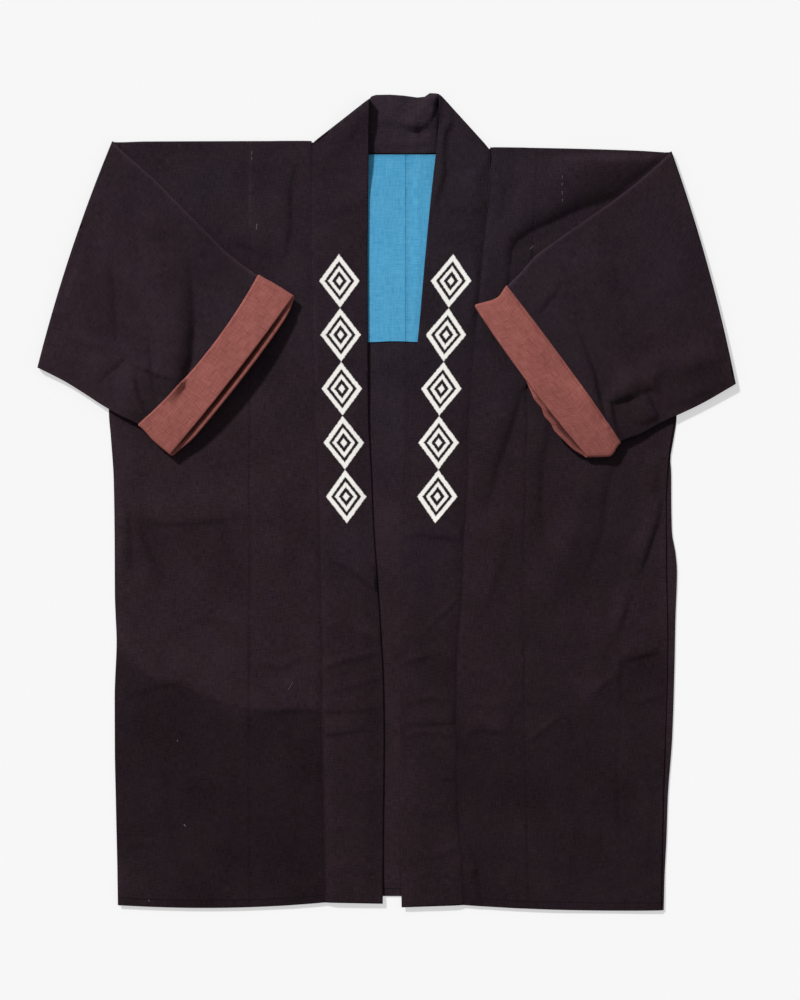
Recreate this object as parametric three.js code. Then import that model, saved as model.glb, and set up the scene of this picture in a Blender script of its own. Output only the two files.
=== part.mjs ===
// A happi coat laid flat, front up, with both sleeves folded in over the front
// and brown cuffs turned back. Sizes are in millimetres, +Z is up, +Y runs from
// the hem to the neck, and left and right are as seen from above.
//
// Every piece is a wall of cloth worked out from a mid surface: a grid of
// points, thickened to both sides along its own normals and closed at its rims.
import * as THREE from 'three';

// ---------------------------------------------------------------- main sizes
const CLOTH = 1.2;           // one cloth, as a wall
const BAND_CLOTH = 2.4;      // the collar is doubled cloth
const SEAM_GAP = 0.3;        // clear distance between neighbouring pieces
const BACK_MID = CLOTH / 2;  // mid surface of the back, flat on the ground
const FRONT_MID = 3.6;       // mid surface of the fronts
const SIDE_MID = 2.4;        // the fronts dip to this beside the side seams
const SIDE_DIP = 26;         // how far in from the side seam the dip reaches
const LINING_MID = BACK_MID + CLOTH + SEAM_GAP;
const BAND_MID = 4.2;        // collar where it lies on the fronts
const NECK_BAND_MID = BAND_CLOTH / 2; // collar where it runs behind the neck
const LINING_REACH = 40;     // lining goes on this far under each front
const LINING_TOP = 399.2;
const LINING_BOTTOM = 184;
const CENTRE_TOP = 22.1;     // centre back seam, at the neck and at the hem
const CENTRE_HEM = 18.1;
const CENTRE_BEND = 184;     // the seam runs straight down to here
const SLEEVE_GAP = 2.0;      // between the two layers' mid surfaces of a sleeve
const SLEEVE_MID = BACK_MID + SLEEVE_GAP / 2;
const FOLD_RADIUS = 3.0;     // of the sleeve's fold, to the middle of both layers
const CUFF_INSIDE = 15;      // how far the cuff goes back into the sleeve
const CUFF_OFFSET = CLOTH + SEAM_GAP;
const SLEEVE_SHORT = 3;      // the sleeve's cloth stops this far inside the cuff's fold
const LOWER_LAYER_EXTRA = 8; // the cuff's lower layer reaches this far past the upper

// ---------------------------------------------------- sections of the two bodies
// One row for each height: x of the side seam (armhole seam above y 149), of the
// seam between front and collar, and of the collar's free edge.
const SECTIONS = [
  { y: -463, leftSide: -307.9, leftSeam: -70.7, leftFree:  -4.0, rightFree: 17.6, rightSeam:  88.8, rightFront: 315.7, rightSide: 319.2 },
  { y: -400, leftSide: -308.3, leftSeam: -71.5, leftFree:  -3.6, rightFree: 16.7, rightSeam:  84.9, rightFront: 317.0, rightSide: 321.6 },
  { y: -320, leftSide: -309.1, leftSeam: -73.0, leftFree:  -2.9, rightFree: 16.1, rightSeam:  80.1, rightFront: 318.8, rightSide: 325.2 },
  { y: -240, leftSide: -310.9, leftSeam: -74.5, leftFree:  -2.9, rightFree: 16.9, rightSeam:  79.6, rightFront: 321.6, rightSide: 329.4 },
  { y: -160, leftSide: -309.3, leftSeam: -75.9, leftFree:  -5.8, rightFree: 16.7, rightSeam:  81.7, rightFront: 323.4, rightSide: 331.2 },
  { y:  -80, leftSide: -312.1, leftSeam: -77.4, leftFree: -11.0, rightFree: 16.4, rightSeam:  87.0, rightFront: 321.9, rightSide: 333.8 },
  { y:  -10, leftSide: -313.2, leftSeam: -78.9, leftFree: -15.3, rightFree: 17.6, rightSeam:  90.5, rightFront: 321.7, rightSide: 328.3 },
  { y:   50, leftSide: -315.4, leftSeam: -81.3, leftFree: -18.0, rightFree: 22.6, rightSeam:  93.0, rightFront: 324.7, rightSide: 327.1 },
  { y:  100, leftSide: -319.2, leftSeam: -83.5, leftFree: -20.4, rightFree: 26.5, rightSeam:  94.3, rightFront: 330.9, rightSide: 334.3 },
  { y:  149, leftSide: -318.3, leftSeam: -84.9, leftFree: -20.9, rightFree: 31.2, rightSeam:  98.2, rightFront: 334.0, rightSide: 334.0 },
  { y:  220, leftSide: -315.3, leftSeam: -86.3, leftFree: -21.3, rightFree: 39.2, rightSeam: 104.6, rightFront: 330.1, rightSide: 330.1 },
  { y:  290, leftSide: -312.3, leftSeam: -87.7, leftFree: -21.4, rightFree: 45.6, rightSeam: 111.0, rightFront: 326.2, rightSide: 326.2 },
  { y:  347, leftSide: -309.6, leftSeam: -87.7, leftFree: -21.0, rightFree: 51.1, rightSeam: 117.4, rightFront: 323.1, rightSide: 323.1 },
  { y:  404, leftSide: -307.0, leftSeam: -86.0, leftFree: -20.2, rightFree: 57.3, rightSeam: 119.7, rightFront: 320.0, rightSide: 320.0 },
];
// The hem and the shoulder line are not quite level: their heights at each line.
const HEM      = { leftSide: -464.5, leftMiddle: -467.5, leftSeam: -461.0, leftFree: -462.3, rightFree: -466.7, rightSeam: -464.0, rightMiddle: -469.8, rightSide: -470.2, centre: -454.0 };
const SHOULDER = { leftSide:  412.6, leftMiddle:  413.1, leftSeam:  413.6, leftFree:  404.0, rightFree:  404.0, rightSeam:  406.0, rightMiddle:  403.8, rightSide:  400.9 };
const HEM_FADE = -240, SHOULDER_FADE = 290;

// The seam between the backs and the collar, behind the neck.
const LEFT_NECK  = [{ x: -62.0, y: 408.0 }, { x: -40.0, y: 403.6 }, { x: -18.7, y: 400.6 }, { x: 21.8, y: 399.9 }];
const RIGHT_NECK = [{ x: 100.0, y: 404.6 }, { x:  81.0, y: 402.0 }, { x:  61.8, y: 400.6 }, { x: 22.4, y: 399.9 }];

// Where each front lies across its width: 0 at the side seam, 1 at the collar.
// The sixth line is the old press crease down each front.
const FRONT_ACROSS = [0, 0.11, 0.25, 0.4, 0.55, 0.69, 0.85, 1];

// Largest folds of the fronts and sleeves: a soft ridge (+) or trough (-) along
// a line, with its half width and height.
const FOLDS = [
  { x1: -157, y1:  400, x2: -157, y2: -440, half: 16, height: -0.5 }, // press crease, left
  { x1:  173, y1:  395, x2:  160, y2: -450, half: 16, height: -0.5 }, // press crease, right
  { x1: -315, y1:    0, x2: -238, y2:  -92, half: 20, height:  0.6 },
  { x1: -310, y1: -160, x2: -214, y2: -230, half: 20, height:  0.6 },
  { x1: -300, y1:  -25, x2: -160, y2:  -25, half: 14, height: -0.4 },
  { x1: -290, y1: -237, x2:  -80, y2: -240, half: 16, height:  0.6 },
  { x1:  278, y1:   62, x2:  194, y2: -128, half: 22, height:  0.7 },
  { x1:  113, y1:   62, x2:   85, y2: -114, half: 18, height:  0.6 },
  { x1:  318, y1:    2, x2:  293, y2:  -80, half: 14, height:  0.6 },
  { x1:  160, y1: -276, x2:  200, y2: -252, half: 14, height:  0.7 },
  { x1:  246, y1: -216, x2:  320, y2: -205, half: 14, height:  0.6 },
  { x1: -225, y1:  236, x2: -232, y2:  156, half: 12, height:  0.7 }, // down the left sleeve
  { x1: -290, y1:  340, x2: -330, y2:  190, half: 18, height:  0.7 },
  { x1:  215, y1:  212, x2:  246, y2:  120, half: 14, height:  0.7 }, // down the right sleeve
  { x1:  300, y1:  330, x2:  345, y2:  190, half: 18, height:  0.7 },
];

// ------------------------------------------------------------------- sleeves
// Each sleeve is a flattened tube sewn to the armhole. It lies flat as far as
// the fold, turns over it, and runs back over the front to the cuff. A row gives
// the tube's two edges in plan as they show; bow bends the row away from the
// cuff, rise lifts it, gap parts the two layers, inset keeps the edges' round
// inside the outline.
const LEFT_SLEEVE = {
  outward: -1,
  armhole: { top: [-307.15, 412.6], bottom: [-318.45, 149.0] },
  rows: [
    { name: 'fold',  top: [-315.2, 414.7], bottom: [-401.5, 153.0], bow:  5, rise: 0.0, gap: 2.0, inset: 1.6 },
    { name: 'upper', top: [-268.3, 372.9], bottom: [-368.4, 136.7], bow:  3, rise: 0.4, gap: 2.0, inset: 1.6 },
    { name: 'lower', top: [-209.6, 314.2], bottom: [-327.7, 111.1], bow:  0, rise: 3.0, gap: 3.2, inset: 2.2 },
    { name: 'cuff',  top: [-146.5, 260.1], bottom: [-284.6,  88.5], bow: -7, rise: 7.5, gap: 5.0, inset: 3.6 },
    { name: 'end',   top: [-107.3, 236.4], bottom: [-247.0,  54.7], bow: -1, rise: 9.5, gap: 5.0, inset: 3.6 },
  ],
};
const RIGHT_SLEEVE = {
  outward: 1,
  armhole: { top: [320.15, 400.9], bottom: [334.15, 149.0] },
  rows: [
    { name: 'fold',  top: [328.1, 403.0], bottom: [401.3, 135.2], bow:  5, rise: 0.0, gap: 2.0, inset: 1.6 },
    { name: 'upper', top: [268.8, 352.6], bottom: [361.2, 111.2], bow:  3, rise: 0.4, gap: 2.0, inset: 1.6 },
    { name: 'lower', top: [196.0, 301.4], bottom: [313.0,  88.2], bow:  0, rise: 3.0, gap: 3.2, inset: 2.2 },
    { name: 'cuff',  top: [140.0, 248.5], bottom: [268.8,  68.5], bow: -6, rise: 7.5, gap: 5.0, inset: 3.6 },
    { name: 'end',   top: [101.7, 225.2], bottom: [250.9,  50.9], bow: -3, rise: 9.5, gap: 5.0, inset: 3.6 },
  ],
};
const SLEEVE_FLAT_STEPS = 2, SLEEVE_ROLL_STEPS = 5;
const SLEEVE_KS = [1, 1.5, 2, 2.5, 3, 3.5, 4]; // rows laid between the table's rows

// Collar behind the neck: a row for each section from the left front's top round
// to the right front's top. seam is the sewn end, free the loose end; roll rows
// turn over the diagonal neck fold.
const NECK_SECTIONS = [
  { name: 'left fan',         seam: [-85.5, 409.4], free: [-20.3, 431.0], z: BAND_MID },
  { name: 'left fold',        seam: [-83.2, 414.4], free: [-19.4, 463.6], z: BAND_MID, roll: true },
  { name: 'left under fan 1', seam: [-62.0, 408.3], free: [-18.5, 464.6], z: NECK_BAND_MID },
  { name: 'left under fan 2', seam: [-40.0, 403.9], free: [-17.4, 466.2], z: NECK_BAND_MID },
  { name: 'behind left',      seam: [-18.7, 400.9], free: [-15.4, 467.8], z: NECK_BAND_MID },
  { name: 'centre back',      seam: [ 22.1, 400.2], free: [ 20.0, 467.6], z: NECK_BAND_MID },
  { name: 'behind right 1',   seam: [ 42.0, 400.4], free: [ 42.4, 465.6], z: NECK_BAND_MID },
  { name: 'behind right 2',   seam: [ 61.8, 400.9], free: [ 56.2, 469.6], z: NECK_BAND_MID },
  { name: 'right under fan 1', seam: [ 81.0, 402.3], free: [ 58.6, 469.4], z: NECK_BAND_MID },
  { name: 'right under fan 2', seam: [100.0, 404.9], free: [ 60.0, 468.6], z: NECK_BAND_MID },
  { name: 'right fold',       seam: [117.6, 406.3], free: [ 61.6, 467.6], z: NECK_BAND_MID, roll: true },
  { name: 'right fan',        seam: [119.2, 404.5], free: [ 60.6, 436.0], z: BAND_MID },
];
const ROLL_STEPS = 4;
const BAND_ACROSS = [0, 1 / 3, 2 / 3, 1];

// --------------------------------------------------------------- small helpers
const mix = (a, b, t) => a + (b - a) * t;
const mix2 = (p, q, t) => [mix(p[0], q[0], t), mix(p[1], q[1], t)];
const unit2 = (p) => { const l = Math.hypot(p[0], p[1]); return [p[0] / l, p[1] / l]; };
const clamp01 = (t) => Math.min(1, Math.max(0, t));
const smooth = (t) => { const s = clamp01(t); return s * s * (3 - 2 * s); };

// Height that the largest folds add at a point.
function relief(x, y) {
  let h = 0;
  for (const f of FOLDS) {
    const dx = f.x2 - f.x1, dy = f.y2 - f.y1, l2 = dx * dx + dy * dy;
    const t = clamp01(((x - f.x1) * dx + (y - f.y1) * dy) / l2);
    const d = Math.hypot(x - f.x1 - dx * t, y - f.y1 - dy * t) / f.half;
    if (d < 3) h += f.height * Math.exp(-d * d) * Math.sin(Math.PI * clamp01(0.08 + 0.84 * t));
  }
  return h;
}

// A closed wall round a mid surface. points are [x, y, z]; quads index them, all
// turning the same way.
function wall(points, quads, thickness) {
  const v = points.map((p) => new THREE.Vector3(...p));
  const n = points.map(() => new THREE.Vector3());
  const a = new THREE.Vector3(), b = new THREE.Vector3(), c = new THREE.Vector3();
  for (const q of quads) {
    a.subVectors(v[q[2]], v[q[0]]); b.subVectors(v[q[3]], v[q[1]]); c.crossVectors(a, b).normalize();
    for (const i of q) n[i].add(c);
  }
  n.forEach((m) => m.normalize());
  const count = points.length, pos = [];
  for (const s of [1, -1]) for (let i = 0; i < count; i++) {
    pos.push(v[i].x + n[i].x * s * thickness / 2, v[i].y + n[i].y * s * thickness / 2, v[i].z + n[i].z * s * thickness / 2);
  }
  const edges = new Map(), index = [];
  for (const q of quads) for (let k = 0; k < 4; k++) edges.set(q[k] + '_' + q[(k + 1) % 4], [q[k], q[(k + 1) % 4]]);
  const face = (p, q, r, s) => index.push(p, q, r, p, r, s);
  for (const q of quads) {
    face(q[0], q[1], q[2], q[3]);
    index.push(q[0] + count, q[2] + count, q[1] + count, q[0] + count, q[3] + count, q[2] + count);
  }
  for (const [p, q] of edges.values()) if (!edges.has(q + '_' + p)) face(p + count, q + count, q, p);
  const g = new THREE.BufferGeometry();
  g.setAttribute('position', new THREE.Float32BufferAttribute(pos, 3));
  g.setIndex(index);
  g.computeVertexNormals();
  return g;
}

// Quads of a grid of rows by columns that starts at index base.
function gridQuads(rows, cols, base = 0, closed = false) {
  const quads = [], last = closed ? cols : cols - 1;
  for (let i = 0; i < rows - 1; i++) for (let j = 0; j < last; j++) {
    const k = (j + 1) % cols;
    quads.push([base + i * cols + j, base + i * cols + k, base + (i + 1) * cols + k, base + (i + 1) * cols + j]);
  }
  return quads;
}

// ------------------------------------------------------------ lines of the cut
// Value of one column of the sections table at a row number, whole or between.
function column(name, row) {
  const i = Math.min(SECTIONS.length - 2, Math.floor(row)), t = row - i;
  return mix(SECTIONS[i][name], SECTIONS[i + 1][name], t);
}
// Height at a row for one named line: the row's own, drawn to the hem's and the
// shoulder's height near the ends.
function heightAt(row, hem, shoulder) {
  const y = column('y', row);
  const low = clamp01((HEM_FADE - y) / (HEM_FADE - SECTIONS[0].y));
  const high = clamp01((y - SHOULDER_FADE) / (SECTIONS[SECTIONS.length - 1].y - SHOULDER_FADE));
  return y + low * (hem - SECTIONS[0].y) + high * (shoulder - SECTIONS[SECTIONS.length - 1].y);
}
const ROWS = [];
for (let i = 0; i < SECTIONS.length - 1; i++) ROWS.push(i, i + 0.5);
ROWS.push(SECTIONS.length - 1);
const TOP_ROW = SECTIONS.length - 1;

// A point of a front, u from 0 at the side seam to 1 at the collar seam.
function frontPlan(side, row, u) {
  const edge = side === 'left' ? 'leftSide' : 'rightFront';
  const inward = side === 'left' ? -1 : 1;
  const x = mix(column(edge, row), column(side + 'Seam', row) + inward * SEAM_GAP / 2, u);
  const bend = 4 * u * (1 - u);
  const along = (t) => mix(t[side + 'Side'], t[side + 'Seam'], u) + bend * (t[side + 'Middle'] - (t[side + 'Side'] + t[side + 'Seam']) / 2);
  return [x, heightAt(row, along(HEM), along(SHOULDER))];
}

// ----------------------------------------------------------------- the bodies
// One length of cloth: the back from hem to neck, over the shoulder, and the
// front down to its hem.
function body(side) {
  const inward = side === 'left' ? -1 : 1;
  const neck = side === 'left' ? LEFT_NECK : RIGHT_NECK;
  const m = FRONT_ACROSS.length - 1, cols = m + 1 + neck.length;
  const points = [], quads = [], id = new Map();
  const put = (r, j, p) => { id.set(r + ',' + j, points.length); points.push(p); };
  const roll = (FRONT_MID - BACK_MID) / 2, rollLow = (SIDE_MID - BACK_MID) / 2;
  const backRows = SECTIONS.map((s, i) => i);
  let r = 0;
  for (const row of backRows) {
    for (let j = 0; j < cols; j++) {
      let x, y;
      if (j <= m) {
        [x, y] = frontPlan(side, row, FRONT_ACROSS[j]);
        x = mix(column(side + 'Side', row), column(side + 'Seam', TOP_ROW) + inward * SEAM_GAP / 2, FRONT_ACROSS[j]);
      } else {
        const k = neck[j - m - 1], last = j === cols - 1;
        const yTop = k.y - SEAM_GAP / 2;
        x = last ? mix(CENTRE_HEM, CENTRE_TOP, clamp01((column('y', row) - HEM.centre) / (CENTRE_BEND - HEM.centre))) + inward * SEAM_GAP / 2 : k.x;
        const yHem = mix(HEM[side + 'Seam'], HEM.centre, clamp01((j - m) / 2));
        y = mix(yHem, yTop, clamp01((column('y', row) - SECTIONS[0].y) / (SECTIONS[TOP_ROW].y - SECTIONS[0].y)));
      }
      put(r, j, [x, y, BACK_MID]);
    }
    r++;
  }
  const shoulderRow = r - 1;
  for (let s = 1; s < ROLL_STEPS; s++, r++) {
    const angle = Math.PI * s / ROLL_STEPS;
    for (let j = 0; j <= m; j++) {
      const u = FRONT_ACROSS[j], rad = mix(rollLow, roll, smooth(u / FRONT_ACROSS[1]));
      const [x, y] = frontPlan(side, TOP_ROW, u);
      put(r, j, [x, y + rad * Math.sin(angle), BACK_MID + rad * (1 - Math.cos(angle))]);
    }
  }
  for (const row of [...ROWS].reverse()) {
    for (let j = 0; j <= m; j++) {
      const u = FRONT_ACROSS[j], [x, y] = frontPlan(side, row, u);
      const width = Math.abs(column(side + 'Seam', row) - column(side + 'Side', row));
      const level = mix(SIDE_MID, FRONT_MID, smooth(u * width / SIDE_DIP));
      const fade = smooth(u * width / 20) * smooth((1 - u) * width / 20) * smooth((SHOULDER[side + 'Side'] - y) / 30);
      put(r, j, [x, y, level + relief(x, y) * fade]);
    }
    r++;
  }
  for (let i = 0; i < r - 1; i++) {
    const wide = i < shoulderRow ? cols - 1 : m;
    for (let j = 0; j < wide; j++) quads.push([id.get(i + ',' + j), id.get(i + ',' + (j + 1)), id.get((i + 1) + ',' + (j + 1)), id.get((i + 1) + ',' + j)]);
  }
  return wall(points, quads, CLOTH);
}

// ------------------------------------------------------------------ the collar
function collar() {
  const sections = [];
  const front = (side, row) => {
    const outward = side === 'left' ? 1 : -1;
    const seam = [column(side + 'Seam', row) + outward * SEAM_GAP / 2, heightAt(row, HEM[side + 'Seam'], SHOULDER[side + 'Seam'])];
    const free = [column(side + 'Free', row), heightAt(row, HEM[side + 'Free'], SHOULDER[side + 'Free'])];
    return { seam, free, z: BAND_MID };
  };
  // the seam's last stretch to the shoulder is walked by the neck sections
  const rows = ROWS.filter((row) => row <= TOP_ROW - 0.5);
  for (const row of rows) sections.push(front('left', row));
  for (const s of NECK_SECTIONS) {
    if (!s.roll) { sections.push(s); continue; }
    const rising = s.name.startsWith('right');
    const d = unit2([s.free[0] - s.seam[0], s.free[1] - s.seam[1]]);
    const out = rising ? [d[1], -d[0]] : [-d[1], d[0]];
    const rad = (BAND_MID - NECK_BAND_MID) / 2, mid = (BAND_MID + NECK_BAND_MID) / 2;
    for (let k = 0; k <= ROLL_STEPS; k++) {
      const angle = Math.PI * k / ROLL_STEPS, reach = rad * Math.sin(angle), h = rad * Math.cos(angle);
      const move = (p) => [p[0] + out[0] * reach, p[1] + out[1] * reach];
      sections.push({ seam: move(s.seam), free: move(s.free), z: rising ? mid - h : mid + h });
    }
  }
  for (const row of [...rows].reverse()) sections.push(front('right', row));
  const points = [];
  for (const s of sections) for (const u of BAND_ACROSS) {
    const [x, y] = mix2(s.seam, s.free, u);
    points.push([x, y, s.z]);
  }
  return wall(points, gridQuads(sections.length, BAND_ACROSS.length), BAND_CLOTH);
}

// ------------------------------------------------------------------ the lining
// Made from the back's plan, moved up by one cloth and a gap.
function lining(side) {
  const inward = side === 'left' ? -1 : 1;
  const seamX = column(side + 'Seam', TOP_ROW - 1);
  const xs = [CENTRE_TOP + inward * SEAM_GAP / 2, mix(CENTRE_TOP, seamX, 0.4), seamX, seamX + inward * LINING_REACH];
  const points = [];
  const steps = 4;
  for (let i = 0; i <= steps; i++) for (const x of xs) points.push([x, mix(LINING_BOTTOM, LINING_TOP, i / steps), LINING_MID]);
  return wall(points, gridQuads(steps + 1, xs.length), CLOTH);
}

// --------------------------------------------------------- sleeves and cuffs
// The ring round a flattened sleeve: c from 0 at its top edge to 1 at its bottom
// edge, h +1 on the front layer and -1 on the back layer, e the round of an edge.
const RING = [];
{
  const cs = [0, 0.2, 0.4, 0.6, 0.8, 1], q = Math.PI / 3;
  for (const c of cs) RING.push({ c, h: 1, e: 0 });
  for (const k of [1, 2]) RING.push({ c: 1, h: Math.cos(q * k), e: Math.sin(q * k) });
  for (const c of [...cs].reverse()) RING.push({ c, h: -1, e: 0 });
  for (const k of [1, 2]) RING.push({ c: 0, h: -Math.cos(q * k), e: -Math.sin(q * k) });
}

function sleeveRow(spec, k) {
  const i = Math.min(spec.rows.length - 2, Math.floor(k)), t = k - i, a = spec.rows[i], b = spec.rows[i + 1];
  const row = { bow: mix(a.bow, b.bow, t), rise: mix(a.rise, b.rise, t), gap: mix(a.gap, b.gap, t), inset: mix(a.inset, b.inset, t) };
  const top = mix2(a.top, b.top, t), bottom = mix2(a.bottom, b.bottom, t), d = unit2([bottom[0] - top[0], bottom[1] - top[1]]);
  row.top = [top[0] + d[0] * row.inset, top[1] + d[1] * row.inset];
  row.bottom = [bottom[0] - d[0] * row.inset, bottom[1] - d[1] * row.inset];
  row.dir = d;
  const n = [d[1], -d[0]];
  row.out = n[0] * spec.outward > 0 ? n : [-n[0], -n[1]];
  return row;
}
const plan = (row, c) => {
  const [x, y] = mix2(row.top, row.bottom, c), b = 4 * c * (1 - c) * row.bow;
  return [x + row.out[0] * b, y + row.out[1] * b];
};

// A point of the folded part of a sleeve, moved out from the tube by off.
function foldedPoint(spec, k, ring, off, forward = 0) {
  const row = sleeveRow(spec, k), [x, y] = plan(row, ring.c);
  const edge = ring.e * (row.gap / 2 + off);
  const extra = LOWER_LAYER_EXTRA * (1 + ring.h) / 2 * smooth((k - 2.5) / 1.5) + forward;
  const z = SLEEVE_MID + 2 * FOLD_RADIUS + row.rise + relief(x, y) * 0.8 * smooth(k) - ring.h * (row.gap / 2 + off);
  return [x + row.dir[0] * edge - row.out[0] * extra, y + row.dir[1] * edge - row.out[1] * extra, z];
}

function sleeve(spec) {
  const points = [];
  const fold = sleeveRow(spec, 0);
  const reach = FOLD_RADIUS + SLEEVE_GAP / 2 + CLOTH / 2;
  const foldPlan = (c) => { const [x, y] = plan(fold, c); return [x - fold.out[0] * reach, y - fold.out[1] * reach]; };
  let rows = 0;
  for (let s = 0; s < SLEEVE_FLAT_STEPS; s++, rows++) for (const ring of RING) {
    const t = s / SLEEVE_FLAT_STEPS, p = mix2(mix2(spec.armhole.top, spec.armhole.bottom, ring.c), foldPlan(ring.c), t);
    const d = unit2(mix2([spec.armhole.bottom[0] - spec.armhole.top[0], spec.armhole.bottom[1] - spec.armhole.top[1]], [fold.bottom[0] - fold.top[0], fold.bottom[1] - fold.top[1]], t));
    const edge = ring.e * SLEEVE_GAP / 2;
    points.push([p[0] + d[0] * edge, p[1] + d[1] * edge, SLEEVE_MID + ring.h * SLEEVE_GAP / 2]);
  }
  for (let s = 0; s <= SLEEVE_ROLL_STEPS; s++, rows++) for (const ring of RING) {
    const angle = Math.PI * s / SLEEVE_ROLL_STEPS, p = foldPlan(ring.c), rad = FOLD_RADIUS - ring.h * SLEEVE_GAP / 2;
    const edge = ring.e * SLEEVE_GAP / 2;
    points.push([p[0] + fold.dir[0] * edge + fold.out[0] * rad * Math.sin(angle), p[1] + fold.dir[1] * edge + fold.out[1] * rad * Math.sin(angle), SLEEVE_MID + FOLD_RADIUS - rad * Math.cos(angle)]);
  }
  const last = spec.rows[spec.rows.length - 1], cuffRow = spec.rows[spec.rows.length - 2];
  const span = Math.hypot(last.top[0] - cuffRow.top[0], last.top[1] - cuffRow.top[1]);
  const ks = SLEEVE_KS.map((k) => (k === spec.rows.length - 1 ? k - SLEEVE_SHORT / span : k));
  for (const k of [0.5, ...ks]) { for (const ring of RING) points.push(foldedPoint(spec, k, ring, 0)); rows++; }
  return wall(points, gridQuads(rows, RING.length, 0, true), CLOTH);
}

function cuff(spec) {
  const end = spec.rows.length - 1, start = end - 1, points = [];
  const span = Math.hypot(spec.rows[end].top[0] - spec.rows[start].top[0], spec.rows[end].top[1] - spec.rows[start].top[1]);
  const lines = [{ k: start, off: CUFF_OFFSET }, { k: start + 0.5, off: CUFF_OFFSET }, { k: end, off: CUFF_OFFSET }];
  for (const a of [45, 90, 135]) lines.push({ k: end, off: CUFF_OFFSET * Math.cos(a * Math.PI / 180), forward: CUFF_OFFSET * Math.sin(a * Math.PI / 180) });
  lines.push({ k: end, off: -CUFF_OFFSET }, { k: end - CUFF_INSIDE / span, off: -CUFF_OFFSET });
  for (const l of lines) for (const ring of RING) points.push(foldedPoint(spec, l.k, ring, l.off, l.forward || 0));
  return wall(points, gridQuads(lines.length, RING.length, 0, true), CLOTH);
}

// ------------------------------------------------------------------- the coat
const DARK = new THREE.MeshStandardMaterial({ name: 'dark_cotton', color: 0x2a2126, roughness: 0.95 });
const BLUE = new THREE.MeshStandardMaterial({ name: 'blue_cotton', color: 0x509dc5, roughness: 0.95 });
const BROWN = new THREE.MeshStandardMaterial({ name: 'brown_cotton', color: 0x945751, roughness: 0.95 });

const coat = new THREE.Group();
coat.name = 'happi_coat';
for (const [name, geometry, material] of [
  ['body_left', body('left'), DARK],
  ['body_right', body('right'), DARK],
  ['collar', collar(), DARK],
  ['lining_left', lining('left'), BLUE],
  ['lining_right', lining('right'), BLUE],
  ['sleeve_left', sleeve(LEFT_SLEEVE), DARK],
  ['sleeve_right', sleeve(RIGHT_SLEEVE), DARK],
  ['cuff_left', cuff(LEFT_SLEEVE), BROWN],
  ['cuff_right', cuff(RIGHT_SLEEVE), BROWN],
]) {
  const mesh = new THREE.Mesh(geometry, material);
  mesh.name = name;
  coat.add(mesh);
}

// The origin is the middle of the underside of the coat's box.
const box = new THREE.Box3().setFromObject(coat);
const shift = [-(box.min.x + box.max.x) / 2, -(box.min.y + box.max.y) / 2, -box.min.z];
coat.children.forEach((mesh) => mesh.geometry.translate(...shift));

export default coat;
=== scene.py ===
import math
import bpy
import numpy as np
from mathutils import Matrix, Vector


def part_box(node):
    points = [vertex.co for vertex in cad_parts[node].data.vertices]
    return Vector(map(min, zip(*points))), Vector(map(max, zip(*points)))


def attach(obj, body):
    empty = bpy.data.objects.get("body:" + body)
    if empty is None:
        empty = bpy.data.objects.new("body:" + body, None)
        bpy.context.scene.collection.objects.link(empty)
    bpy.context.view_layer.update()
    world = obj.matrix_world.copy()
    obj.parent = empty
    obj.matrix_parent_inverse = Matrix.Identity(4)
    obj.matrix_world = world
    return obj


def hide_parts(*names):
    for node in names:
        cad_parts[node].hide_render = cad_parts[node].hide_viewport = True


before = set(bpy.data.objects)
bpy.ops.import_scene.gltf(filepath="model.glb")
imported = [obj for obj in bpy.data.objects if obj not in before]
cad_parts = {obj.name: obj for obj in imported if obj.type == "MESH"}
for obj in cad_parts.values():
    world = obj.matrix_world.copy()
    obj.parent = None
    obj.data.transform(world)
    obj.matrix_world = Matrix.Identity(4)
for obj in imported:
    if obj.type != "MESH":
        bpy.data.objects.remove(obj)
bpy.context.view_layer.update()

MM = 0.001
_lo, _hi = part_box("lining_left")
SHIFT = np.array([_hi[0] - 0.02195, _lo[1] - 0.184, 0.0])   # plan to the row's frame


def at(px, py):
    """A point of the 800 x 1000 picture frame, in plan millimetres."""
    return ((px - 386.3) * 1.15, (501.6 - py) * 1.15)


# ------------------------------------------------------------------ sizes (mm)
CLOTH = 0.55          # one cotton cloth
BACK_Z = 0.45         # middle of the back
LINING_Z = 1.35
FRONT_Z = 3.1
SIDE_Z = 1.9          # the front beside the side seam
HEM_Z = 4.1           # the front near its hem
BAND_Z = 3.9          # middle of the doubled collar on the fronts
NECK_BAND_Z = 1.15    # middle of the collar behind the neck
BAND_HALF = 0.85      # half the doubled collar's thickness

# Heights at each line, hem and shoulder (plan y).
HEM = dict(leftSide=-464.0, leftMiddle=-467.2, leftSeam=-461.0, leftFree=-462.3,
           rightFree=-466.5, rightSeam=-464.0, rightMiddle=-469.6, rightSide=-470.2, centre=-454.0)
SHOULDER = dict(leftSide=412.6, leftMiddle=413.1, leftSeam=413.4, leftFree=404.0,
                rightFree=404.0, rightSeam=406.0, rightMiddle=404.4, rightSide=400.9)

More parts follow.
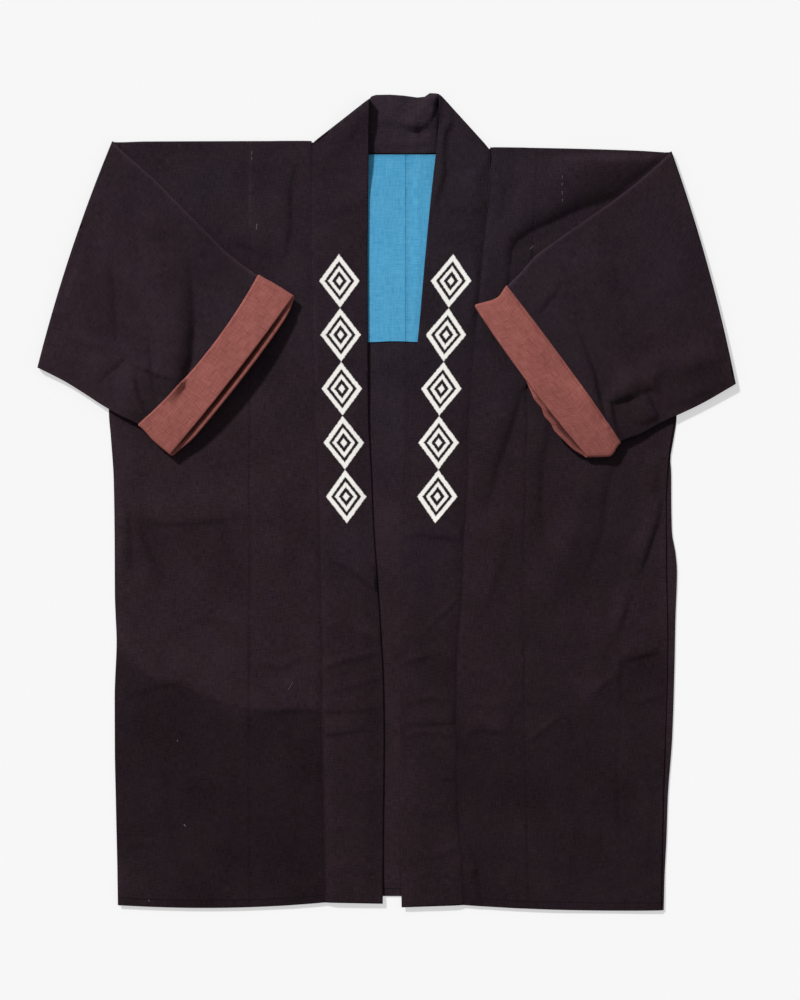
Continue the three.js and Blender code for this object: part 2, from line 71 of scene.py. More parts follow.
# The long lines of the coat: plan x for a height y.
LEFT_SIDE = [dict(y=-464, x=-308.6), dict(y=-400, x=-310.0), dict(y=-340, x=-311.3), dict(y=-285, x=-312.4),
             dict(y=-225, x=-312.6), dict(y=-160, x=-310.4), dict(y=-130, x=-311.6), dict(y=-107, x=-312.4), dict(y=-41, x=-312.7),
             dict(y=25, x=-313.7), dict(y=73, x=-316.9), dict(y=105, x=-319.3), dict(y=149, x=-318.3),
             dict(y=290, x=-312.3), dict(y=413, x=-307.0)]
RIGHT_SIDE = [dict(y=-470, x=319.0), dict(y=-428, x=320.2), dict(y=-380, x=322.6), dict(y=-338, x=324.0),
              dict(y=-268, x=329.2), dict(y=-186, x=331.8), dict(y=-136, x=332.8), dict(y=-80, x=334.6),
              dict(y=-60, x=333.0), dict(y=-35, x=328.8), dict(y=2, x=328.0), dict(y=33, x=327.9),
              dict(y=48, x=326.9), dict(y=70, x=330.3), dict(y=98, x=334.2), dict(y=149, x=334.0),
              dict(y=290, x=326.2), dict(y=401, x=320.0)]
RIGHT_FRONT = [dict(y=-470, x=315.6), dict(y=-453, x=315.9), dict(y=-338, x=318.2), dict(y=-206, x=322.8),
               dict(y=-160, x=323.4), dict(y=-67, x=321.7), dict(y=3, x=321.7), dict(y=56, x=325.1),
               dict(y=98, x=331.5), dict(y=149, x=333.9), dict(y=290, x=326.1), dict(y=401, x=319.9)]
LEFT_SEAM = [dict(y=-461, x=-70.7), dict(y=-400, x=-71.5), dict(y=-320, x=-73.0), dict(y=-240, x=-74.5),
             dict(y=-160, x=-75.9), dict(y=-80, x=-77.4), dict(y=-10, x=-78.9), dict(y=50, x=-81.3),
             dict(y=100, x=-83.5), dict(y=149, x=-84.9), dict(y=220, x=-86.3), dict(y=290, x=-87.7),
             dict(y=347, x=-87.7), dict(y=413, x=-86.0)]
RIGHT_SEAM = [dict(y=-464, x=88.8), dict(y=-420, x=86.5), dict(y=-339, x=80.2), dict(y=-240, x=79.6),
              dict(y=-173, x=80.9), dict(y=-100, x=86.2), dict(y=-41, x=88.5), dict(y=24, x=92.8),
              dict(y=88, x=93.8), dict(y=140, x=97.4), dict(y=236, x=106.1), dict(y=308, x=112.6),
              dict(y=347, x=117.4), dict(y=406, x=119.8)]
LEFT_FREE = [dict(y=-462, x=-4.0), dict(y=-371, x=-3.4), dict(y=-272, x=-2.4), dict(y=-206, x=-3.4),
             dict(y=-160, x=-5.8), dict(y=-84, x=-10.7), dict(y=-41, x=-13.9), dict(y=36, x=-17.4),
             dict(y=103, x=-20.5), dict(y=190, x=-21.2), dict(y=279, x=-21.5), dict(y=347, x=-21.0),
             dict(y=401, x=-20.2)]
RIGHT_FREE = [dict(y=-467, x=17.6), dict(y=-339, x=15.9), dict(y=-240, x=16.9), dict(y=-107, x=16.6),
              dict(y=-28, x=16.1), dict(y=26, x=20.7), dict(y=91, x=25.8), dict(y=136, x=29.4),
              dict(y=184, x=35.9), dict(y=279, x=44.5), dict(y=354, x=51.7), dict(y=399, x=56.8)]
# The old press crease down each front.
LEFT_PRESS = [dict(y=-467, x=-157.5), dict(y=-24, x=-158.0), dict(y=413, x=-156.5)]
RIGHT_PRESS = [dict(y=-469, x=163.0), dict(y=-113, x=157.5), dict(y=230, x=165.5), dict(y=404, x=173.0)]

# Seam between the backs and the collar behind the neck.
LEFT_NECK = [dict(x=-86.0, y=413.0), dict(x=-62.0, y=408.0), dict(x=-40.0, y=403.6), dict(x=-18.7, y=400.6), dict(x=21.8, y=399.9)]
RIGHT_NECK = [dict(x=119.8, y=405.6), dict(x=100.0, y=403.8), dict(x=81.0, y=401.6), dict(x=61.8, y=400.4), dict(x=22.4, y=399.9)]
CENTRE_TOP, CENTRE_HEM, CENTRE_BEND = 22.1, 18.1, 184.0

# Creases: a soft ridge (+) or trough (-) along a path, its half width and height.
LEFT_CREASES = [
    dict(path=[at(250, 232), at(250, 523), at(249, 900)], half=1.9, height=-0.35),
    dict(foot=[at(302, 146), at(292, 182), at(290, 215), at(289, 240), at(287, 270)], wide=[5, 7, 8, 7, 6], high=[0, 2.2, 2.8, 2.2, 0], tail=14.0, crest="left"),
    dict(path=[at(256, 148), at(280, 145), at(303, 142)], half=3.5, height=0.90),
    dict(path=[at(262, 150), at(258, 210), at(262, 262)], half=9.0, height=1.10),
    dict(foot=[at(222, 240), at(236, 247), at(254, 252), at(268, 262)], wide=[8, 12, 12, 8], high=[0, 2.6, 2.6, 0], tail=16.0, crest="up"),
    dict(foot=[at(118, 522), at(150, 525), at(200, 524), at(250, 521)], wide=[8, 11, 11, 8], high=[0, 2.2, 2.6, 0.6], tail=24.0, crest="up"),
    dict(path=[at(118, 704), at(128, 693), at(150, 684), at(180, 682), at(205, 692), at(249, 706)], half=(24.0, 5.5), height=2.40),
    dict(foot=[at(240, 709), at(262, 713), at(288, 714), at(312, 712)], wide=[6, 8, 8, 6], high=[0, 2.2, 2.4, 1.2], tail=20.0, crest="up"),
    dict(path=[at(118, 636), at(140, 662), at(160, 684)], half=(16.0, 6.0), height=2.60),
    dict(path=[at(186, 824), at(200, 846), at(209, 872)], half=(4.0, 9.0), height=1.50),
    dict(foot=[at(125, 490), at(130, 518), at(132, 545), at(131, 578)], wide=[7, 12, 13, 8], high=[0, 3.6, 4.2, 0], tail=9.0, crest="left", straight=True),
    dict(foot=[at(136, 516), at(146, 541), at(157, 564), at(171, 588)], wide=[7, 10, 10, 6], high=[0, 2.8, 3.2, 0], tail=12.0, crest="left"),
    dict(path=[at(128, 452), at(134, 500), at(146, 540)], half=12.0, height=1.40),
    dict(path=[at(205, 470), at(214, 560), at(206, 640)], half=(16.0, 24.0), height=1.70),
    dict(path=[at(268, 396), at(276, 430), at(289, 470)], half=(4.5, 12.0), height=1.60),
    dict(path=[at(276, 480), at(283, 560), at(296, 610)], half=(7.0, 12.0), height=1.20),
    dict(path=[at(124, 850), at(140, 840), at(158, 845)], half=4.0, height=1.20),
    dict(path=[at(160, 756), at(164, 820), at(176, 884)], half=(8.0, 15.0), height=1.70),
    dict(path=[at(220, 740), at(228, 800), at(221, 874)], half=(9.0, 17.0), height=1.40),
    dict(path=[at(204, 884), at(215, 874), at(230, 884)], half=4.0, height=1.10),
    dict(path=[at(286, 750), at(293, 820), at(287, 885)], half=(7.0, 13.0), height=1.20),
    dict(path=[at(180, 625), at(206, 616), at(236, 622)], half=(8.0, 5.0), height=0.90),
    dict(path=[at(258, 662), at(280, 667), at(308, 657)], half=(7.0, 4.0), height=1.30),
    dict(path=[at(284, 692), at(290, 686), at(298, 676)], half=2.4, height=1.30),
    dict(path=[at(150, 590), at(172, 602), at(190, 634)], half=(9.0, 7.0), height=0.90),
]
RIGHT_CREASES = [
    dict(path=[at(536, 150), at(530, 300), at(523, 600), at(527, 900)], half=1.9, height=-0.45),
    dict(path=[at(561, 152), at(562, 180), at(561, 206)], half=1.8, height=-0.35),
    dict(path=[at(622, 652), at(620, 720), at(620, 800), at(624, 893)], half=2.2, height=-0.90),
    dict(foot=[at(506, 304), at(507, 284), at(508, 266), at(512, 250), at(519, 240), at(530, 231), at(548, 222), at(567, 213), at(590, 206), at(615, 197),
               at(642, 177), at(664, 158)],
         wide=[8, 8, 9, 10, 12, 14, 17, 22, 38, 44, 34, 18], high=[1.0, 2.0, 2.6, 3.8, 4.8, 6.0, 6.8, 8.4, 11.5, 12.0, 9.0, 2.5], tail=30.0, crest="up", power=2.4),
    dict(path=[at(524, 246), at(546, 236), at(566, 226)], half=(7.0, 5.0), height=-1.20),
    dict(path=[at(494, 160), at(502, 185), at(496, 215)], half=(4.0, 8.0), height=1.50),
    dict(path=[at(512, 160), at(517, 185), at(512, 205)], half=5.0, height=-1.10),
    dict(foot=[at(466, 736), at(484, 733), at(502, 735), at(516, 733)], wide=[6, 9, 10, 6], high=[0, 2.2, 2.6, 0], tail=14.0, crest="up"),
    dict(path=[at(524, 743), at(541, 731), at(562, 716)], half=2.6, height=1.50),
    dict(foot=[at(565, 714), at(573, 731), at(584, 755)], wide=[4, 4.5, 4], high=[0, 1.8, 0], tail=9.0, crest="left"),
    dict(path=[at(595, 693), at(603, 683), at(614, 676)], half=(6.0, 3.0), height=1.80),
    dict(foot=[at(616, 664), at(628, 660), at(642, 659), at(668, 654)], wide=[6, 8, 9, 6], high=[0, 2.2, 3.0, 1.0], tail=14.0, crest="up"),
    dict(path=[at(618, 653), at(617, 678), at(620, 706)], half=(3.2, 8.0), height=1.60),
    dict(path=[at(638, 703), at(655, 697), at(668, 699)], half=(7.0, 3.0), height=1.60),
    dict(foot=[at(665, 490), at(661, 508), at(657.5, 524), at(652, 540), at(645.5, 560), at(638, 582)], wide=[3.5, 4.2, 4.6, 5.0, 5.0, 4.0],
         high=[0, 3.0, 3.9, 4.2, 3.8, 0], tail=12.0, crest="left", straight=True),
    dict(foot=[at(630, 600), at(627, 612), at(622, 632)], wide=[4, 4.5, 4], high=[0, 1.7, 0], tail=9.0, crest="left", straight=True),
    dict(path=[at(632, 584), at(623, 610), at(613, 646)], half=(3.4, 9.0), height=1.60),
    dict(path=[at(657, 458), at(654, 480), at(650, 508)], half=(5.0, 9.0), height=1.40),
    dict(foot=[at(463, 829), at(469, 842), at(476, 862), at(481, 896)], wide=[4, 4.5, 5, 4], high=[0.6, 2.0, 2.2, 1.2], tail=9.0, crest="left"),
    dict(path=[at(466, 880), at(472, 872), at(479, 869)], half=(4.0, 2.4), height=1.20),
    dict(path=[at(586, 462), at(570, 540), at(532, 626)], half=(17.0, 28.0), height=3.40),
    dict(foot=[at(616, 462), at(608, 500), at(600, 540), at(584, 590)], wide=[14, 20, 20, 12], high=[2.0, 4.2, 3.4, 0], tail=30.0, crest="left"),
    dict(foot=[at(524, 392), at(512, 430), at(497, 475), at(480, 522)], wide=[14, 18, 18, 12], high=[2.0, 4.2, 3.4, 0], tail=20.0, crest="left"),
    dict(foot=[at(548, 420), at(545, 470), at(541, 520), at(546, 560)], wide=[8, 12, 12, 8], high=[1.0, 3.0, 2.6, 0], tail=20.0, crest="left"),
    dict(path=[at(510, 516), at(496, 570), at(475, 616)], half=(8.0, 16.0), height=2.20),
    dict(path=[at(500, 640), at(510, 700), at(504, 780)], half=(10.0, 16.0), height=1.30),
    dict(path=[at(562, 770), at(570, 830), at(564, 890)], half=(10.0, 16.0), height=1.30),
    dict(path=[at(600, 600), at(604, 640), at(588, 700)], half=(8.0, 15.0), height=1.70),
    dict(path=[at(640, 760), at(648, 810), at(640, 870)], half=(7.0, 11.0), height=1.30),
    dict(path=[at(470, 702), at(490, 707), at(510, 702)], half=(6.0, 4.0), height=1.20),
    dict(path=[at(590, 800), at(596, 830), at(588, 862)], half=(7.0, 12.0), height=1.00),
]
# The back: what shows between the collar's edges, and similar ones where it is hidden.
BACK_CREASES = [
    dict(path=[at(419, 150), at(417, 240), at(412, 330)], half=3.0, height=0.35),
    dict(path=[at(372, 372), at(388, 382), at(404, 376)], half=4.0, height=0.35),
    dict(path=[at(378, 455), at(392, 462), at(404, 458)], half=4.0, height=0.35),
    dict(path=[at(388, 520), at(393, 620), at(390, 700)], half=5.0, height=0.45),
    dict(path=[at(385, 760), at(392, 768), at(399, 762)], half=4.0, height=0.35),
    dict(path=[at(150, 300), at(220, 330), at(330, 318)], half=10.0, height=0.50),
    dict(path=[at(140, 620), at(220, 600), at(310, 640)], half=12.0, height=0.50),
    dict(path=[at(230, 700), at(238, 800), at(226, 890)], half=10.0, height=0.45),
    dict(path=[at(480, 360), at(560, 380), at(640, 350)], half=10.0, height=0.50),
    dict(path=[at(470, 700), at(560, 680), at(650, 720)], half=12.0, height=0.50),
    dict(path=[at(590, 500), at(600, 620), at(584, 760)], half=12.0, height=0.50),
]
COLLAR_CREASES = [
    dict(foot=[at(330, 562), at(346, 569), at(360, 580), at(376, 593)], wide=[5, 6, 7, 6], high=[0.8, 2.8, 4.6, 3.6], tail=12.0, crest="up", straight=True),
    dict(foot=[at(350, 629), at(362, 636), at(378, 642)], wide=[4, 6, 5], high=[0, 2.0, 1.4], tail=9.0, crest="up"),
    dict(path=[at(318, 670), at(345, 660), at(380, 650)], half=(5.0, 4.0), height=1.60),
    dict(path=[at(322, 694), at(350, 686), at(382, 677)], half=(5.0, 4.0), height=1.10),
    dict(foot=[at(318, 711), at(336, 714), at(356, 713), at(384, 709)], wide=[6, 7, 7, 5], high=[1.0, 1.8, 1.6, 0.6], tail=12.0, crest="up"),
    dict(foot=[at(316, 735), at(338, 735), at(354, 732), at(372, 727)], wide=[6, 7, 7, 5], high=[1.2, 2.2, 1.8, 0], tail=12.0, crest="up"),
    dict(path=[at(326, 786), at(352, 792), at(382, 786)], half=(10.0, 6.0), height=1.00),
    dict(path=[at(324, 832), at(350, 826), at(381, 834)], half=(7.0, 5.0), height=1.00),
    dict(path=[at(327, 872), at(350, 866), at(381, 870)], half=(7.0, 5.0), height=1.00),
    dict(path=[at(334, 530), at(345, 545), at(340, 558)], half=6.0, height=0.90),
    dict(foot=[at(404, 538), at(420, 537), at(440, 539), at(466, 544)], wide=[5, 7, 8, 6], high=[0.5, 1.6, 2.2, 1.2], tail=12.0, crest="up"),
    dict(path=[at(424, 632), at(441, 615), at(459, 598)], half=(3.4, 2.6), height=1.35),
    dict(path=[at(402, 662), at(430, 655), at(456, 668)], half=(7.0, 3.0), height=1.60),
    dict(path=[at(402, 704), at(430, 697), at(456, 702)], half=4.0, height=1.30),
    dict(foot=[at(400, 724), at(420, 727), at(440, 726), at(460, 723)], wide=[5, 7, 7, 5], high=[0.6, 2.0, 2.2, 1.0], tail=12.0, crest="up"),
    dict(path=[at(404, 735), at(426, 732), at(454, 736)], half=(5.0, 3.0), height=1.30),
    dict(path=[at(436, 780), at(446, 777), at(460, 780)], half=(5.0, 3.0), height=1.10),
    dict(path=[at(404, 806), at(430, 812), at(458, 806)], half=(9.0, 6.0), height=1.00),
    dict(path=[at(408, 844), at(430, 856), at(458, 848)], half=(6.0, 4.0), height=1.20),
    dict(path=[at(404, 878), at(432, 870), at(462, 877)], half=(7.0, 5.0), height=1.00),
    dict(path=[at(312, 196), at(336, 206), at(368, 200)], half=(14.0, 9.0), height=1.60),
    dict(path=[at(318, 180), at(340, 172), at(364, 180)], half=8.0, height=-1.00),
    dict(path=[at(440, 214), at(460, 206), at(484, 210)], half=(10.0, 7.0), height=1.10),
    dict(foot=[at(462, 106), at(459, 117), at(449, 133), at(445, 150), at(446, 172), at(441, 192), at(434, 214)],
         wide=[5, 7, 6, 5, 6, 5, 4], high=[0, 2.4, 2.8, 3.2, 3.2, 2.2, 0], tail=6.0, crest="left"),
    dict(path=[at(322, 158), at(340, 138), at(362, 116)], half=(8.0, 9.0), height=1.50),
    dict(path=[at(318, 250), at(318, 330), at(322, 420)], half=(5.0, 8.0), height=0.90),
    dict(path=[at(472, 240), at(476, 290), at(469, 332)], half=(6.0, 9.0), height=1.10),
    dict(path=[at(472, 122), at(461, 113), at(448, 118)], half=3.4, height=-1.60),
    dict(path=[at(484, 160), at(474, 180), at(478, 214)], half=(6.0, 9.0), height=1.20),
]
# Behind the neck the collar shows its inner face, a little crumpled at the right.
NECK_CREASES = [
    dict(foot=[at(368, 125), at(380, 125), at(392, 124), at(404, 127)], wide=[5, 7, 8, 7], high=[0.4, 1.4, 1.4, 1.6], tail=9.0, crest="up"),
    dict(foot=[at(396, 125), at(404, 128), at(413, 131), at(423, 129), at(431, 122), at(436, 112), at(439, 99), at(440, 90)],
         wide=[7, 11, 12, 12, 11, 10, 8, 6], high=[0, 3.6, 7.6, 8.0, 7.8, 6.4, 4.6, 1.2], tail=11.0, crest="up", power=3.0),
    dict(foot=[at(404, 112), at(412, 117), at(420, 114), at(427, 105)], wide=[4, 6, 6, 4], high=[0, 1.8, 1.8, 0], tail=7.0, crest="up"),
    dict(foot=[at(441, 106), at(440, 124), at(439, 150)], wide=[10, 12, 9], high=[2.2, 5.6, 0.6], tail=9.0, crest="left"),
    dict(path=[at(376, 144), at(404, 145), at(436, 144)], half=(8.0, 1.8), height=1.10),
    dict(path=[at(378, 103), at(396, 107), at(410, 105)], half=7.0, height=1.10),
    dict(path=[at(414, 132), at(416, 140), at(415, 150)], half=(2.6, 5.0), height=0.90),
]
LINING_CREASES = [
    dict(path=[at(420, 152), at(417, 190), at(418, 240), at(413, 330)], half=2.2, height=0.85),
    dict(path=[at(388, 160), at(386, 240), at(389, 330)], half=8.0, height=0.30),
    dict(path=[at(372, 330), at(392, 334), at(414, 331)], half=4.0, height=0.25),
]
LEFT_SLEEVE_CREASES = [
    dict(foot=[at(184, 236), at(191, 264), at(194, 296), at(196, 330), at(192.5, 360), at(186, 385), at(176, 404)],
         wide=[30, 34, 35, 32, 25, 18, 11], high=[0, 5.2, 9.4, 14.6, 15.2, 12.4, 0], tail=34.0, crest="left", power=3.0),
    dict(foot=[at(130, 358), at(136, 374), at(142, 392), at(150, 416), at(156, 430)], wide=[8, 10, 11, 9, 6], high=[0, 4.2, 6.2, 4.2, 0], tail=14.0, crest="left"),
    dict(foot=[at(146, 314), at(151, 340), at(153, 366), at(157, 396), at(160, 412)], wide=[10, 14, 13, 10, 8], high=[0, 3.4, 5.4, 3.4, 0], tail=16.0, crest="left"),
    dict(foot=[at(110, 250), at(113, 280), at(117, 320), at(122, 352)], wide=[10, 16, 16, 10], high=[0, 3.4, 3.2, 0], tail=26.0, crest="left"),
    dict(foot=[at(96, 388), at(108, 375), at(121, 362), at(132, 350)], wide=[7, 10, 9, 6], high=[0, 2.4, 2.4, 0], tail=14.0, crest="up"),
    dict(foot=[at(130, 210), at(137, 240), at(140, 275), at(138, 306)], wide=[12, 18, 18, 10], high=[0, 1.8, 1.8, 0], tail=24.0, crest="left"),
    dict(path=[at(150, 196), at(154, 250), at(160, 300)], half=(13.0, 18.0), height=2.20),
    dict(path=[at(168, 196), at(186, 222), at(206, 250), at(226, 276)], half=(16.0, 30.0), height=2.40),
    dict(path=[at(88, 236), at(80, 290), at(84, 340)], half=(12.0, 17.0), height=2.20),
    dict(path=[at(58, 330), at(84, 342), at(112, 350)], half=(8.0, 5.0), height=1.50),
    dict(path=[at(60, 356), at(90, 366), at(114, 392)], half=(8.0, 6.0), height=1.20),
    dict(path=[at(128, 300), at(134, 336), at(130, 366)], half=(6.0, 10.0), height=1.50),
    dict(path=[at(124, 176), at(118, 220), at(104, 262)], half=(12.0, 16.0), height=1.40),
]
RIGHT_SLEEVE_CREASES = [
    dict(foot=[at(570, 300), at(578, 324), at(586, 348), at(593, 372), at(599, 400), at(606, 424)], wide=[7, 8, 8, 7, 7, 5],
         high=[0, 1.8, 3.0, 5.2, 6.0, 2.0], tail=16.0, crest="left"),
    dict(foot=[at(534, 322), at(545, 309), at(556, 297), at(563, 284)], wide=[6, 9, 9, 6], high=[0, 2.4, 2.4, 0], tail=12.0, crest="up"),
    dict(foot=[at(604, 406), at(615, 406), at(628, 402), at(640, 396), at(649, 391), at(658, 394)], wide=[5, 10, 13, 18, 12, 6],
         high=[0, 5.0, 6.8, 7.8, 4.2, 0], tail=15.0, crest="up", power=2.6),
    dict(foot=[at(610, 400), at(613, 412), at(616, 426), at(622, 441)], wide=[4, 6, 6, 4], high=[1.6, 4.4, 4.2, 1.6], tail=7.0, crest="left"),
    dict(foot=[at(644, 386), at(650, 398), at(654, 408), at(663, 422)], wide=[5, 8, 8, 6], high=[0, 5.0, 6.0, 3.2], tail=11.0, crest="left"),
    dict(path=[at(650, 368), at(692, 362), at(732, 355)], half=(18.0, 12.0), height=4.20),
    dict(path=[at(626, 408), at(636, 417), at(648, 426)], half=(4.0, 6.0), height=1.80),
    dict(foot=[at(596, 222), at(612, 258), at(624, 304), at(630, 352)], wide=[12, 20, 20, 12], high=[0, 2.0, 2.2, 0], tail=26.0, crest="left"),
    dict(path=[at(652, 182), at(676, 260), at(692, 336)], half=(15.0, 24.0), height=2.40),
    dict(path=[at(556, 256), at(562, 280), at(574, 306)], half=(8.0, 10.0), height=1.60),
    dict(path=[at(668, 400), at(690, 398), at(716, 386)], half=(7.0, 5.0), height=1.30),
    dict(path=[at(700, 240), at(712, 300), at(722, 350)], half=(7.0, 11.0), height=1.20),
]
# Darker below each line: partly uneven dye, partly painted shade under the folds that run along these lines.
TONE_LINES = [
    dict(side="left", line=[at(90, 626), at(118, 642), at(140, 672), at(160, 688), at(180, 686), at(200, 694), at(225, 706),
                            at(250, 711), at(318, 711)], soft=((-310, 30.0), (-230, 26.0), (-160, 14.0), (-130, 6.0)), amount=0.685),
    dict(side="left", line=[at(112, 523), at(150, 525.5), at(200, 524.5), at(252, 521)], soft=((-310, 8.0), (-160, 6.0)),
         amount=((-164, 0.89), (-157, 1.0)), reach=52.0),
    dict(side="right", line=[at(450, 738), at(515, 735), at(545, 728), at(562, 714), at(585, 706), at(603, 690), at(622, 660),
                             at(665, 652), at(690, 650)], soft=((0, 26.0), (320, 22.0)), amount=0.80),
]
# Soft patches of other tone: place, half sizes in mm and how much lighter or darker. Several are painted shade: below
# the left sleeve's top edge, beside the right sleeve's top edge, by the right sleeve's flap, tuck and cuff, and along
# the diagonal fold low on the left front.
TONES = [
    dict(place=at(135, 872), size=(34, 40), amount=0.16), dict(place=at(150, 660), size=(28, 18), amount=-0.06),
    dict(place=at(130, 704), size=(18, 12), amount=0.16), dict(place=at(60, 350), size=(40, 60), amount=0.12),
    dict(place=at(216, 262), size=(48, 36), amount=-0.20), dict(place=at(590, 206), size=(60, 24), amount=-0.12),
    dict(place=at(700, 395), size=(60, 22), amount=-0.12), dict(place=at(395, 372), size=(26, 14), amount=-0.10),
    dict(place=at(345, 545), size=(26, 24), amount=0.06), dict(place=at(350, 720), size=(36, 230), amount=-0.10),
    dict(place=at(430, 720), size=(36, 230), amount=-0.17), dict(place=at(428, 552), size=(36, 34), amount=-0.08),
    dict(place=at(388, 430), size=(20, 90), amount=-0.06), dict(place=at(525, 175), size=(40, 24), amount=-0.07), dict(place=at(560, 520), size=(110, 110), amount=-0.10),
    dict(place=at(520, 165), size=(60, 14), amount=0.05), dict(place=at(650, 790), size=(16, 90), amount=0.08),
    dict(place=at(580, 160), size=(24, 12), amount=0.12), dict(place=at(185, 498), size=(70, 26), amount=0.07),
    dict(place=at(139, 528), size=(12, 16), amount=-0.10), dict(place=at(151, 556), size=(13, 16), amount=-0.11),
    dict(place=at(162, 578), size=(14, 14), amount=-0.09), dict(place=at(374, 780), size=(14, 150), amount=-0.11),
    dict(place=at(528, 668), size=(70, 54), amount=-0.10), dict(place=at(526, 404), size=(36, 40), amount=-0.12),
    dict(place=at(616, 400), size=(24, 16), amount=-0.08), dict(place=at(126, 314), size=(34, 52), amount=-0.12),
    dict(place=at(122, 409), size=(18, 9), amount=0.15), dict(place=at(388, 600), size=(12, 60), amount=-0.09),
]


# --------------------------------------------------------------------- helpers
def hermite(table, key="y", value="x"):
    """A smooth line through a table's rows that never overshoots them."""
    rows = sorted(table, key=lambda r: r[key])
    xs = np.array([r[key] for r in rows], float)
    ys = np.array([r[value] for r in rows], float)
    d = np.diff(ys) / np.diff(xs)
    m = np.zeros(len(xs))
    m[0], m[-1] = d[0], d[-1]
    for i in range(1, len(xs) - 1):
        if d[i - 1] * d[i] > 0:
            w1, w2 = 2 * (xs[i + 1] - xs[i]) + xs[i] - xs[i - 1], xs[i + 1] - xs[i] + 2 * (xs[i] - xs[i - 1])
            m[i] = (w1 + w2) / (w1 / d[i - 1] + w2 / d[i])

    def f(x):
        x = np.clip(np.asarray(x, float), xs[0], xs[-1])
        i = np.clip(np.searchsorted(xs, x, side="right") - 1, 0, len(xs) - 2)
        h = xs[i + 1] - xs[i]
        t = (x - xs[i]) / h
        return ((2 * t ** 3 - 3 * t ** 2 + 1) * ys[i] + (t ** 3 - 2 * t ** 2 + t) * h * m[i]
                + (3 * t ** 2 - 2 * t ** 3) * ys[i + 1] + (t ** 3 - t ** 2) * h * m[i + 1])
    return f


def smooth(t):
    s = np.clip(t, 0.0, 1.0)
    return s * s * (3 - 2 * s)


def lerp(a, b, t):
    return a + (b - a) * t


def noise(x, y, size, seed):
    """Smooth repeatable noise, about -1 to 1, with features of the given size."""
    x = np.asarray(x, float) / size + seed * 17.31
    y = np.asarray(y, float) / size - seed * 9.77
    xi, yi = np.floor(x), np.floor(y)
    fx, fy = x - xi, y - yi
    fx, fy = fx * fx * fx * (fx * (fx * 6 - 15) + 10), fy * fy * fy * (fy * (fy * 6 - 15) + 10)

    def value(a, b):
        s = np.sin(a * 127.1 + b * 311.7 + seed * 74.7) * 43758.5453
        return (s - np.floor(s)) * 2 - 1
    return lerp(lerp(value(xi, yi), value(xi + 1, yi), fx), lerp(value(xi, yi + 1), value(xi + 1, yi + 1), fx), fy)


def relief(x, y, creases, wobble=3.0, seed=1):
    """Height of a table of creases over plan points."""
    x, y = np.asarray(x, float), np.asarray(y, float)
    xw = x + wobble * noise(x, y, 38.0, seed)
    yw = y + wobble * noise(x, y, 38.0, seed + 5)
    out = np.zeros(np.broadcast(x, y).shape)
    for c in creases:
        pts = np.array(c["foot"] if "foot" in c else c["path"], float)
        xc, yc = (x, y) if c.get("straight") else (xw, yw)
        seg = np.hypot(*(pts[1:] - pts[:-1]).T)
        total = seg.sum()
        best = np.full(out.shape, 1e9)
        along = np.zeros(out.shape)
        cross = np.zeros(out.shape)
        run = 0.0
        for (a, b, length) in zip(pts[:-1], pts[1:], seg):
            t = np.clip(((xc - a[0]) * (b[0] - a[0]) + (yc - a[1]) * (b[1] - a[1])) / length ** 2, 0, 1)
            d = np.hypot(xc - a[0] - (b[0] - a[0]) * t, yc - a[1] - (b[1] - a[1]) * t)
            near = d < best
            best = np.where(near, d, best)
            along = np.where(near, (run + t * length) / total, along)
            cross = np.where(near, ((b[0] - a[0]) * (yc - a[1]) - (b[1] - a[1]) * (xc - a[0])) / length, cross)
            run += length
        if "foot" in c:
            # a fold seen by its foot line: the cloth stands up on one side, rolls over and drops to the line
            place = np.concatenate([[0.0], np.cumsum(seg)]) / total
            wide, high = np.interp(along, place, c["wide"]), np.interp(along, place, c["high"])
            over = cross > 0 if c["crest"] in ("right", "up") else cross < 0
            drop = 1 - np.clip(1 - best / wide, 0, 1) ** c.get("power", 3.0)
            out += np.where(over, high * drop * np.exp(-(np.maximum(best - wide, 0) / c["tail"]) ** 2), 0.0)
            continue
        half = c["half"]
        if isinstance(half, tuple):
            # the first is the right-hand side of a path drawn downwards, the upper side of one drawn to the right
            half = lerp(half[1], half[0], smooth(0.5 + cross / 2.4))
        q = best / half
        taper = np.sin(np.pi * np.clip(0.06 + 0.88 * along, 0, 1)) ** 0.8
        out += c["height"] * np.exp(-q ** c.get("power", 2.0)) * taper
    return out


def undulation(x, y, seed, large=0.50, small=0.10):
    return (large * noise(x, y, 95.0, seed) + 0.5 * large * noise(x, y, 47.0, seed + 1)
            + small * noise(x, y, 19.0, seed + 2) + 0.6 * small * noise(x, y, 10.0, seed + 3))


def mesh_piece(name, points, quads, uv, material, attributes=None, thickness=0.0, uv2=None):
    """A cloth piece from plan millimetres, riding on the coat's one body."""
    co = np.asarray(points, float).reshape(-1, 3) * MM + SHIFT
    me = bpy.data.meshes.new(name)
    quads = np.asarray(quads, np.int32)
    me.from_pydata(co.tolist(), [], quads.tolist())
    for label, values in (("cloth", uv), ("motif", uv2)):
        if values is None:
            continue
        layer = me.uv_layers.new(name=label)
        flat = np.asarray(values, float).reshape(-1, 2)
        loops = np.empty(len(me.loops), np.int32)
        me.loops.foreach_get("vertex_index", loops)
        layer.data.foreach_set("uv", flat[loops].astype(np.float32).ravel())
    for label, values in (attributes or {}).items():
        att = me.attributes.new(label, "FLOAT", "POINT")
        att.data.foreach_set("value", np.asarray(values, np.float32).ravel())
    me.polygons.foreach_set("use_smooth", np.ones(len(me.polygons), bool))
    me.materials.append(material)
    me.update()
    ob = bpy.data.objects.new(name, me)
    bpy.context.scene.collection.objects.link(ob)
    if thickness:
        mod = ob.modifiers.new("thickness", "SOLIDIFY")
        mod.thickness = thickness * MM
        mod.offset = 0.0
        mod.use_even_offset = False
        mod.use_rim = True
    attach(ob, "root")
    return ob


